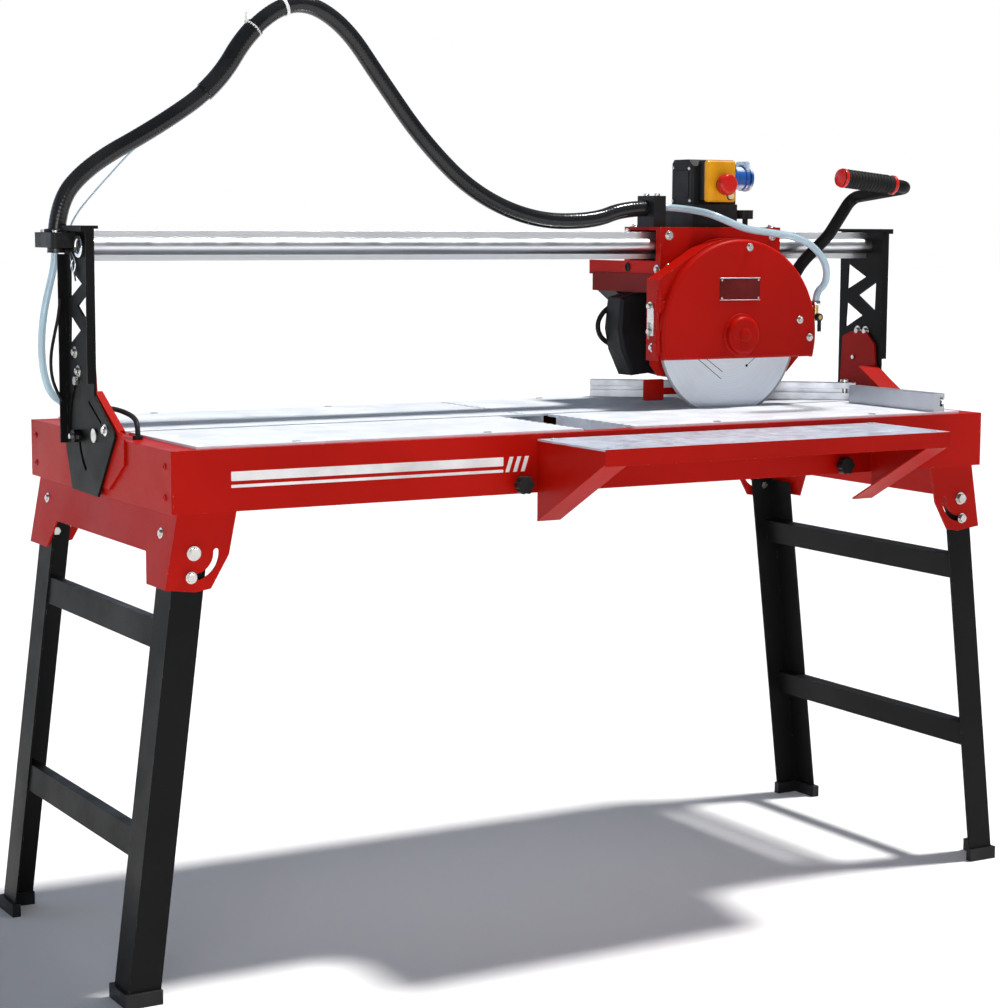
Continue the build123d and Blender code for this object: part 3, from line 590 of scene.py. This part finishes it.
for number, spot in enumerate([(-460, 76, 1462), (-408, 73, 1500)]):
    i = near(conduit_path, bench(*spot))
    middle = conduit_path[i]
    direction = (conduit_path[i + 3] - conduit_path[i - 3]).normalized()
    bm = bmesh.new()
    add_lathe(bm, [(0.0141, -0.0025), (0.0156, -0.0025), (0.0160, -0.0015),
                   (0.0160, 0.0015), (0.0156, 0.0025), (0.0141, 0.0025),
                   (0.0141, -0.0025)], middle, direction, 32)
    sideways = direction.cross(Vector((0, 1, 0))).normalized()
    sideways = sideways if sideways.z > 0 else -sideways
    add_prism(bm, rounded(0.0075, 0.0055, 0.001),
              middle + sideways * 0.0145, direction, direction.cross(sideways) * -1,
              0.0045, 0.0006)
    tail, _ = walk([middle + sideways * 0.0175,
                    middle + sideways * 0.030 + Vector((0.004, -0.008, 0.002)),
                    middle + sideways * 0.040 + Vector((0.012, -0.013, -0.004))], 0.002)
    add_tube(bm, tail, 0.0011, 8)
    on_conduit(piece(f"cable_tie_{number + 1}", bm, None, WHITE))

sleeve_from = near(conduit_path, bench(-545, 80, 1360))
sleeve_to = near(conduit_path, bench(-455, 76, 1468))
bm = bmesh.new()
sleeve_path = conduit_path[sleeve_from:sleeve_to]
add_tube(bm, sleeve_path, lambda s, a: ribbed(s, a) + 0.0021, 20)
sleeve = on_conduit(piece("conduit_sleeve", bm, None, FINISH["conduit_plastic"],
                          angle=60))
on_conduit(conduit)
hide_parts("conduit")

left_hose, left_path, left_length = hose(
    "left_clear_hose", ROUTES["left_water_hose"], 0.006, FINISH["clear_hose"])
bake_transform(left_hose)
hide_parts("left_water_hose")

right_hose, right_path, right_length = hose(
    "right_clear_hose", ROUTES["right_water_hose"], 0.0065, FINISH["clear_hose"])
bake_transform(right_hose)
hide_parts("right_water_hose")

guy_line, guy_path, guy_length = hose(
    "conduit_guy_line", [bench(*p) for p in (
        (-772, 100, 1142), (-765, 98, 1162), (-735, 94, 1198), (-700, 90, 1236),
        (-668, 88, 1270), (-640, 86, 1290))], 0.0014, FINISH["clear_hose"])
on_conduit(guy_line)

loop, loop_path, loop_length = hose(
    "upright_cable_loop", [bench(*p) for p in (
        (-789, 99, 1034), (-792, 99, 1008), (-799, 99, 980), (-806.5, 99, 945),
        (-806, 99, 914), (-799, 99, 890), (-789, 99, 872))], 0.0026,
    FINISH["cable_rubber"])
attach(loop, "bridge")

pump_lead, pump_path, pump_length = hose(
    "pump_lead", ROUTES["pump_cable"], 0.004, FINISH["cable_rubber"])
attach(pump_lead, "bench")
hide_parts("pump_cable")


# ------------------------------------------------------------- bench details
def add_weld(bm, start, end, radius=0.0022, ripple=0.0032):
    """A rippled fillet weld laid along a joint."""
    start, end = Vector(start), Vector(end)
    path, length = walk([start, end], 0.0009)
    phase = rng.random()
    add_tube(bm, path, lambda s, a: radius * (0.80 + 0.20 * abs(
        math.sin(math.pi * (s / ripple + phase)))) * (0.75 + 0.25 * min(
            1, s / 0.003, (length - s) / 0.003 + 0.05)), 8)


def add_wire(bm, points, radius, step=0.0015, segments=10):
    path, _ = walk(spline([Vector(p) for p in points], 12), step)
    add_tube(bm, path, radius, segments)


FRONT_RAIL = -308.0
bm = bmesh.new()
for left, right_end, low, high in ((-676, -214, 778, 792), (-676, -214, 768, 772.5)):
    add_prism(bm, rounded((right_end - left) / 1000, (high - low) / 1000, 0.0015),
              bench((left + right_end) / 2, FRONT_RAIL, (low + high) / 2),
              (1, 0, 0), (0, 0, 1), 0.0003, 0.0001)
for k in range(3):
    x = -203 + 14 * k
    add_prism(bm, [(-0.0075, -0.012), (-0.0005, -0.012), (0.0075, 0.012), (0.0005, 0.012)],
              bench(x, FRONT_RAIL, 780), (1, 0, 0), (0, 0, 1), 0.0003, 0.0001)
piece("front_stripes", bm, "bench", STRIPE, smooth=False)

bolts("table_screws", "bench",
      [(bench(x, y, 830), (0, 0, 1)) for y in (-286, 286) for x in (-560, -230, 210, 540)],
      flats=0.011, head=0.0012, washer=False, socket=True)
bolts("end_plate_screws", "bench",
      [(bench(side * (757.6 + (733 - z) * 0.180), y, z), (side, 0, 0.18))
       for side in (-1, 1) for y, z in ((-250, 700), (250, 700))],
      flats=0.009, head=0.003, washer=True)
bolts("end_rail_rivets", "bench",
      [(bench(side * 770, y, z), (side, 0, 0)) for side in (-1, 1)
       for y in (-284, 284) for z in (756, 802)],
      finish="red_enamel", flats=0.008, head=0.002, washer=False, socket=True)

for side, which in ((-1, "left"), (1, "right")):
    bm = bmesh.new()
    for z in (545, 232):
        along_leg = (674 - z) / math.cos(math.radians(7.1))
        angle = math.radians(7.1)
        for face in (-1, 1):
            y = face * 288.6
            for shift in (-21.5, 21.5):
                ends = []
                for across in (1.5, 20.5):
                    down_leg = along_leg + shift
                    x = 733 + down_leg * math.sin(angle) + across * math.cos(angle)
                    height = 674 - down_leg * math.cos(angle) + across * math.sin(angle)
                    ends.append(bench(side * x, y, height))
                add_weld(bm, ends[0], ends[1], 0.0020)
    piece(f"{which}_leg_welds", bm, f"{which}_legs", FINISH["black_enamel"],
          angle=70)

    bm = bmesh.new()
    for y in (-292, 292):
        add_weld(bm, bench(side * 668, y, 732.2), bench(side * 752, y, 732.2), 0.0020)
    add_weld(bm, bench(side * 770.8, -126, 826.8), bench(side * 770.8, -110, 838), 0.0018)
    if side > 0:
        add_weld(bm, bench(733, -104, 836.6), bench(733, -13, 889.6), 0.0016)
    piece(f"{which}_bracket_welds", bm, "bench", FINISH["red_enamel"],
          angle=70)

bm = bmesh.new()
for x in (-150.5, 523.5):
    inward = 1 if x < 0 else -1
    add_weld(bm, bench(x + inward * 2.4, -318, 811.4), bench(x + inward * 2.4, -498, 811.4))
piece("side_table_welds", bm, "side_table", FINISH["red_enamel"], angle=70)
bolts("side_table_rivets", "side_table",
      [(bench(x, y, 818), (0, 0, 1)) for x in (-132, 505) for y in (-490, -325)],
      finish="galvanised", flats=0.009, head=0.0016, washer=False, socket=True)

# screws on the rip fence
bm = bmesh.new()
for x in (671.2, 692.8):
    sign = -1 if x < 682 else 1
    add_lathe(bm, [(0, 0), (0.0035, 0), (0.0035, 0.0012), (0.0028, 0.002), (0, 0.002)],
              bench(x - sign * 1.2, -288, 846), (sign, 0, 0), 20)
piece("fence_screws", bm, "rip_fence", FINISH["zinc_steel"])

# ------------------------------------------------------------- bridge details
bolts("upright_bolts", "bridge",
      [(bench(-779, 62, 951), (-1, 0, 0)), (bench(-779, 48, 922), (-1, 0, 0)),
       (bench(-779, -66, 838), (-1, 0, 0)), (bench(-779, 66, 1129), (-1, 0, 0)),
       (bench(775, 25, 957), (-1, 0, 0)), (bench(775, 48, 957), (-1, 0, 0)),
       (bench(779, 62, 951), (1, 0, 0)), (bench(779, 48, 922), (1, 0, 0)),
       (bench(779, 66, 1129), (1, 0, 0))],
      flats=0.010, head=0.0045)
bm = bmesh.new()
for x, sign in ((-784, -1), (784, 1)):
    add_lathe(bm, [(0.0112, -0.0040), (0.0172, -0.0040), (0.0180, -0.0030), (0.0180, 0.0008),
                   (0.0170, 0.0018), (0.0118, 0.0018), (0.0112, 0.0010), (0.0112, -0.0040)],
              bench(x, 26, 1117), (sign, 0, 0), 40)
piece("tube_end_rings", bm, "bridge", CHROME)
bm = bmesh.new()
for x in (-1, 1):
    add_lathe(bm, [(0, 0.0), (0.0110, 0.0), (0.0110, 0.006), (0.0095, 0.0072), (0, 0.0072)],
              bench(x * 776.5, 26, 1117), (x, 0, 0), 32)
piece("tube_plugs", bm, "bridge", FINISH["black_plastic"])

bm = bmesh.new()
add_wire(bm, [bench(*p) for p in (
    (-783, 58, 1108), (-784, 52, 1104), (-784, 43, 1098), (-784, 39, 1088), (-784, 44, 1079),
    (-784, 53, 1077), (-784, 60, 1083), (-784, 58, 1092), (-784, 50, 1096))], 0.0013)
add_wire(bm, [bench(*p) for p in (
    (-782, 66, 1106), (-783.5, 62, 1098), (-783.5, 52, 1084), (-783.5, 46, 1070),
    (-783, 44, 1062))], 0.0016)
piece("spring_clip", bm, "bridge", CHROME)

bolts("clamp_screws", "bridge",
      [(bench(-808, 60, 1138), (0, 0, 1)), (bench(-804, 129, 1138), (0, 0, 1)),
       (bench(-790, 112, 1138), (0, 0, 1))],
      finish="zinc_steel", flats=0.0085, head=0.004, washer=False, socket=True)
bm = bmesh.new()
add_lathe(bm, [(0.0141, 0), (0.0185, 0), (0.0185, 0.003), (0.0172, 0.0052), (0.0143, 0.0056),
               (0.0141, 0)], bench(-797, 92, 1138), (0, 0, 1), 40)
add_lathe(bm, [(0.0061, 0), (0.0090, 0), (0.0090, 0.004), (0.0078, 0.006), (0.0062, 0.006),
               (0.0061, 0)], bench(-789, 118, 1114), (0, 0, -1), 28)
piece("clamp_collars", bm, "bridge", FINISH["black_plastic"])

# ------------------------------------------------------------- carriage details
bolts("carriage_bolts", "carriage",
      [(bench(x, -6, z), (0, -1, 0)) for x, z in ((300, 1136), (300, 1078), (527, 1136))]
      + [(bench(282, y, z), (-1, 0, 0)) for y, z in ((4, 1076), (100, 1140))]
      + [(bench(545, y, z), (1, 0, 0)) for y, z in ((4, 1076), (100, 1076), (100, 1140))]
      + [(bench(x, y, 1151), (0, 0, 1)) for x, y in ((532, 6), (532, 98), (296, 98))],
      flats=0.009, head=0.0035)
bm = bmesh.new()
for x, sign in ((282, -1), (545, 1)):
    add_lathe(bm, [(0.0, 0), (0.0085, 0), (0.0085, 0.0012), (0.0070, 0.0024), (0.0052, 0.0024),
                   (0.0048, 0.0006), (0, 0.0006)], bench(x, 98, 1078.5), (sign, 0, 0), 32)
piece("carriage_grommets", bm, "carriage", FINISH["cable_rubber"])

bm = bmesh.new()
for y, z in ((37, 1198), (91, 1198), (91, 1258), (40, 1256)):
    add_lathe(bm, [(0, 0), (0.0033, 0), (0.0033, 0.0010), (0.0025, 0.0018), (0.0012, 0.0018),
                   (0.0010, 0.0008), (0, 0.0008)], bench(374, y, z), (-1, 0, 0), 16)
piece("switch_box_screws", bm, "carriage", FINISH["zinc_steel"])
bm = bmesh.new()
add_prism(bm, rounded(0.044, 0.050, 0.004), bench(374, 64, 1228), (0, -1, 0), (0, 0, 1),
          0.0012, 0.0006)
piece("switch_box_panels", bm, "carriage", FINISH["black_plastic"])
bm = bmesh.new()
add_lathe(bm, [(0.0075, 0), (0.0150, 0), (0.0150, 0.0010), (0.0140, 0.0018), (0.0078, 0.0018),
               (0.0075, 0)], bench(421, 2, 1227), (0, -1, 0), 40)
add_lathe(bm, [(0.0062, 0), (0.0076, 0), (0.0076, 0.0008), (0.0070, 0.0014), (0.0064, 0.0014),
               (0.0062, 0)], bench(437, 2, 1207), (0, -1, 0), 32)
piece("switch_rings", bm, "carriage", FINISH["black_plastic"])
bm = bmesh.new()
add_lathe(bm, [(0.0210, 0), (0.0228, 0), (0.0232, 0.0010), (0.0232, 0.0060), (0.0224, 0.0070),
               (0.0211, 0.0070), (0.0210, 0)], bench(476, 62, 1240), (1, 0, 0), 44)
add_lathe(bm, [(0.0210, 0), (0.0220, 0), (0.0224, 0.0008), (0.0224, 0.0030), (0.0218, 0.0038),
               (0.0211, 0.0038), (0.0210, 0)], bench(502, 62, 1240), (1, 0, 0), 44)
piece("inlet_rings", bm, "carriage", FINISH["blue_plastic"])
bolts("right_clamp_screws", "carriage",
      [(bench(297, 29, 1206), (0, 0, 1)), (bench(297, 63, 1206), (0, 0, 1))],
      flats=0.0085, head=0.004, washer=False, socket=True)

# ------------------------------------------------------------- head details
bm = bmesh.new()
add_prism(bm, rounded(0.088, 0.040, 0.003), bench(416, -62.3, 1042), (1, 0, 0), (0, 0, 1),
          0.0008, 0.0002)
piece("guard_name_plate", bm, "guard_cover",
      plastic("dark_red_foil", (0.12, 0.004, 0.004), 0.3, 300, 0.05))
bm = bmesh.new()
for w, h, x, z in ((0.088, 0.0016, 416, 1061.5), (0.088, 0.0010, 416, 1022.6)):
    add_prism(bm, rounded(w, h, 0.0004), bench(x, -63.1, z), (1, 0, 0), (0, 0, 1),
              0.0003, 0.0001)
for k in range(4):
    a = math.radians(90 * k)
    add_lathe(bm, [(0, 0), (0.0019, 0), (0.0017, 0.0009), (0, 0.0012)],
              bench(416 + (40 if k in (0, 3) else -40), -63.1, 1042 + (16 if k < 2 else -16)),
              (0, -1, 0), 14)
piece("name_plate_trim", bm, "guard_cover", FINISH["aluminium"])
bolts("guard_bolts", "guard_cover",
      [(bench(x, -62.3, z), (0, -1, 0)) for x, z in
       ((436, 1116), (574, 953), (551, 985))],
      flats=0.0075, head=0.004)
bm = bmesh.new()
add_lathe(bm, [(0.0340, 0), (0.0385, 0), (0.0385, 0.0012), (0.0372, 0.0024), (0.0340, 0.0026),
               (0.0340, 0)], bench(420, -62.3, 960), (0, -1, 0), 64)
add_lathe(bm, [(0, 0), (0.0120, 0), (0.0120, 0.0010), (0.0105, 0.0020), (0.0050, 0.0024),
               (0, 0.0024)], bench(420, -76, 960), (0, -1, 0), 48)
piece("hub_cap_rings", bm, "guard_cover", FINISH["red_enamel"])
bm = bmesh.new()
path, _ = walk(spline([bench(264 + 2 * k, -60.6, 922.2) for k in range(150)], 4), 0.002)
add_tube(bm, path, 0.0016, 10)
piece("guard_hem", bm, "guard_cover", FINISH["red_enamel"])

bolts("shell_bolts", "head",
      [(bench(250, y, z), (-1, 0, 0)) for y, z in ((-24, 1012), (-24, 968), (-32, 940))],
      flats=0.009, head=0.005)
bm = bmesh.new()
add_prism(bm, rounded(0.020, 0.050, 0.002), bench(250, -27, 985), (0, -1, 0), (0, 0, 1),
          0.0020, 0.0005)
coil = [bench(246.5 + 2.2 * math.cos(k * 0.9), -24 + 2.2 * math.sin(k * 0.9), 955 + k * 0.36)
        for k in range(80)]
add_wire(bm, coil, 0.0005, 0.0010, 6)
piece("guard_catch", bm, "head", FINISH["zinc_steel"])

handle_free, handle_bend = bench(528, -206, 1237), bench(678, -206, 1223)
run = (handle_bend - handle_free).normalized()
bm = bmesh.new()
for offset in (-0.0040, 0.1070):
    add_lathe(bm, [(0.0111, 0), (0.0160, 0), (0.0168, 0.0012), (0.0168, 0.0052),
                   (0.0160, 0.0064), (0.0111, 0.0064), (0.0111, 0)],
              handle_free + run * offset, run, 40)
add_lathe(bm, [(0, 0), (0.0152, 0), (0.0152, 0.0010), (0.0120, 0.0026), (0, 0.0032)],
          handle_free - run * 0.0060, -run, 40)
piece("grip_collars", bm, "head", FINISH["red_plastic"])
bm = bmesh.new()
for k in range(13):
    add_lathe(bm, [(0.0150, -0.0012), (0.0163, -0.0008), (0.0166, 0), (0.0163, 0.0008),
                   (0.0150, 0.0012), (0.0150, -0.0012)],
              handle_free + run * (0.010 + 0.0072 * k), run, 40)
piece("grip_ribs", bm, "head", FINISH["grip_rubber"])

# motor: fins, end bell, plate and its lead
bm = bmesh.new()
for k in range(15):
    a = math.radians(-132 + 13.5 * k)
    radial = Vector((math.cos(a), 0, math.sin(a)))
    if a > math.radians(52):
        break
    add_prism(bm, rounded(0.118, 0.0022, 0.0009, 3), bench(420, 112, 960) + radial * 0.0692,
              (0, 1, 0), radial.cross(Vector((0, 1, 0))), 0.0052, 0.0008)
piece("motor_fins", bm, "head", FINISH["motor_black"])
bm = bmesh.new()
for y in (186, 196):
    add_lathe(bm, [(0.0698, 0), (0.0722, 0.0006), (0.0722, 0.0044), (0.0698, 0.0050),
                   (0.0698, 0)], bench(420, y, 960), (0, 1, 0), 64)
add_lathe(bm, [(0.0, 0), (0.0180, 0), (0.0175, 0.0015), (0.0100, 0.0028), (0.0, 0.0030)],
          bench(420, 250, 960), (0, 1, 0), 40)
piece("motor_bands", bm, "head", FINISH["motor_black"])
bolts("motor_screws", "head",
      [(bench(420 + 60 * math.cos(math.radians(22.5 + 45 * k)), 250,
              960 + 60 * math.sin(math.radians(22.5 + 45 * k))), (0, 1, 0))
       for k in range(0, 8, 2)], flats=0.007, head=0.003)
bm = bmesh.new()
add_prism(bm, rounded(0.046, 0.030, 0.002), bench(347.8, 95, 915), (0, -1, 0),
          Vector((-8, 0, 50)).normalized(), 0.0008, 0.0002)
piece("motor_plate", bm, "head", FINISH["aluminium"])

# boxed cover beside the motor, and the red cheek over the carriage's lower edge, its darker red
# painted shade
bm = bmesh.new()
cover_edge = ((250, 1024), (280, 1032), (340, 1032), (352, 1000), (352, 900), (330, 889),
              (275, 884), (252, 930), (244, 968))
add_prism(bm, [((x - 300) / 1000, (z - 960) / 1000) for x, z in cover_edge],
          bench(300, 114, 960), (1, 0, 0), (0, 0, 1), 0.048, 0.006)
piece("motor_side_cover", bm, "head", FINISH["motor_black"], angle=25)
bm = bmesh.new()
add_prism(bm, rounded(0.207, 0.0335, 0.002), bench(281.6, 108.5, 1050.75), (0, -1, 0),
          (0, 0, 1), 0.003, 0.0005)
piece("saddle_cheek", bm, "head", enamel("saddle_cheek_painted_shade", (0.16, 0.003, 0.002), 0.38))

MOTOR_LEAD = [bench(*p) for p in (
    (372, 120, 1019), (352, 120, 1023), (318, 120, 1022), (278, 120, 1016), (246, 120, 1000),
    (231, 120, 978), (236, 120, 954), (258, 120, 938), (292, 120, 930), (326, 120, 925),
    (349, 120, 922))]
lead_path, lead_length = walk(spline(MOTOR_LEAD), 0.005)
bm = bmesh.new()
add_tube(bm, lead_path, 0.0045, 16)
lead = piece("motor_lead", bm, "head", FINISH["cable_rubber"], angle=60)
bm = bmesh.new()
add_lathe(bm, [(0.0046, -0.002), (0.0085, -0.002), (0.0085, 0.006), (0.0064, 0.010),
               (0.0055, 0.018), (0.0047, 0.020), (0.0046, -0.002)], lead_path[-1],
          lead_path[-4] - lead_path[-1], 24)
gland = piece("motor_lead_gland", bm, "head", FINISH["black_plastic"])

bm = bmesh.new()
add_lathe(bm, [(0.0066, 0), (0.0086, 0.0), (0.0088, 0.001), (0.0088, 0.007), (0.0082, 0.008),
               (0.0066, 0.008), (0.0066, 0)], bench(608, -34, 1010), (0, 0, 1), 28)
piece("tap_hose_clip", bm, "head", CHROME)
bm = bmesh.new()
for z in (846, 838):
    add_lathe(bm, [(0.0062, -0.0015), (0.0080, -0.0015), (0.0082, 0), (0.0080, 0.0015),
                   (0.0062, 0.0015), (0.0062, -0.0015)], bench(-749, 150, z), (0, 0, 1), 28)
piece("seat_hose_clips", bm, "bench", CHROME)

# printed marks on the blade's face
bm = bmesh.new()
for start, end, width in (((352, 919), (407, 879.3), 0.0012),
                          ((370, 919), (409.8, 892), 0.0012),
                          ((484, 918), (464, 903), 0.0010)):
    head_of_mark, tail_of_mark = bench(start[0], -22.2, start[1]), bench(end[0], -22.2, end[1])
    reach = tail_of_mark - head_of_mark
    add_prism(bm, rounded(reach.length, width, width * 0.45, 3),
              (head_of_mark + tail_of_mark) / 2, reach, reach.cross(Vector((0, 1, 0))), 0.00008)
add_lathe(bm, [(0, 0), (0.0026, 0), (0.0026, 0.00008), (0, 0.00008)], bench(463, -22.2, 902),
          (0, -1, 0), 20)
piece("blade_marks", bm, "spindle", FINISH["black_plastic"], smooth=False)

# red foot of the blade housing, behind the blade
bm = bmesh.new()
add_prism(bm, rounded(0.041, 0.038, 0.003), bench(285.5, 18, 861), (1, 0, 0), (0, 0, 1),
          0.006, 0.0008)
add_prism(bm, rounded(0.054, 0.012, 0.002), bench(326, 18, 858), (1, 0, 0), (0, 0, 1), 0.004,
          0.0005)
add_prism(bm, rounded(0.016, 0.074, 0.002), bench(345, 18, 889), (1, 0, 0), (0, 0, 1), 0.004,
          0.0005)
piece("splash_foot", bm, "head", FINISH["red_enamel"])


# ------------------------------------------------------------- floor and light
bm = bmesh.new()
add_lathe(bm, [(0, 0), (3, 0), (10, 0), (30, 0), (60, 0)], (0, 0, 0), (0, 0, 1), 96)
floor_finish = Finish("pale_floor")
floor_finish.set(base_color=floor_finish.blend(
    floor_finish.band(floor_finish.noise(0.7, 3), 0.3, 0.7), (0.86, 0.86, 0.86),
    (0.88, 0.88, 0.88)), roughness=0.7)
floor = piece("floor", bm, None, floor_finish.material)

world = bpy.data.worlds.new("studio")
bpy.context.scene.world = world
world.use_nodes = True
tree = world.node_tree
tree.nodes.clear()
out = tree.nodes.new("ShaderNodeOutputWorld")
mix = tree.nodes.new("ShaderNodeMixShader")
seen = tree.nodes.new("ShaderNodeBackground")
seen.inputs[0].default_value = (1, 1, 1, 1)
lighting = tree.nodes.new("ShaderNodeBackground")
place = tree.nodes.new("ShaderNodeTexCoord")
dot = tree.nodes.new("ShaderNodeVectorMath")
dot.operation = "DOT_PRODUCT"
dot.inputs[1].default_value = (-0.5, 0.866, 0)
split = tree.nodes.new("ShaderNodeSeparateXYZ")
tree.links.new(place.outputs["Generated"], dot.inputs[0])
tree.links.new(place.outputs["Generated"], split.inputs[0])


def world_ramp(source, low, high, to_low, to_high):
    ramp = tree.nodes.new("ShaderNodeMapRange")
    ramp.interpolation_type = "SMOOTHSTEP"
    for socket, number in zip(("From Min", "From Max", "To Min", "To Max"),
                              (low, high, to_low, to_high)):
        ramp.inputs[socket].default_value = number
    tree.links.new(source, ramp.inputs["Value"])
    return ramp.outputs[0]


# a bright strip of horizon behind and to the left, a dim sky elsewhere
strip = tree.nodes.new("ShaderNodeMath")
strip.operation = "MULTIPLY"
tree.links.new(world_ramp(dot.outputs["Value"], 0.1, 0.9, 0, 1), strip.inputs[0])
tree.links.new(world_ramp(split.outputs[2], 0.1, 0.6, 1, 0), strip.inputs[1])
strength = world_ramp(strip.outputs[0], 0, 1, 0.17, 1.0)
tree.links.new(strength, lighting.inputs["Strength"])
lighting.inputs[0].default_value = (0.70, 0.82, 1.0, 1)
light_path = tree.nodes.new("ShaderNodeLightPath")
tree.links.new(light_path.outputs["Is Camera Ray"], mix.inputs[0])
tree.links.new(lighting.outputs[0], mix.inputs[1])
tree.links.new(seen.outputs[0], mix.inputs[2])
tree.links.new(mix.outputs[0], out.inputs[0])


def lamp(name, kind, place, target, power, size=1.0, tall=None, colour=(1, 1, 1)):
    data = bpy.data.lights.new(name, kind)
    data.energy = power
    data.color = colour
    if kind == "SUN":
        data.angle = math.radians(size)
    else:
        data.shape = "RECTANGLE"
        data.size, data.size_y = size, tall or size
    obj = bpy.data.objects.new(name, data)
    aim = (Vector(target) - Vector(place)).to_track_quat("-Z", "Y")
    obj.matrix_world = Matrix.Translation(place) @ aim.to_matrix().to_4x4()
    bpy.context.collection.objects.link(obj)


lamp("key", "SUN", (1.9, -0.5, 5.0), (0, 0, 0), 4.3, 7, colour=(1.0, 0.98, 0.95))
lamp("front_fill", "AREA", (-3.0, -4.0, 1.3), (0, 0, 0.8), 49, 2.4, 1.6)
bpy.context.scene.view_settings.view_transform = "Standard"
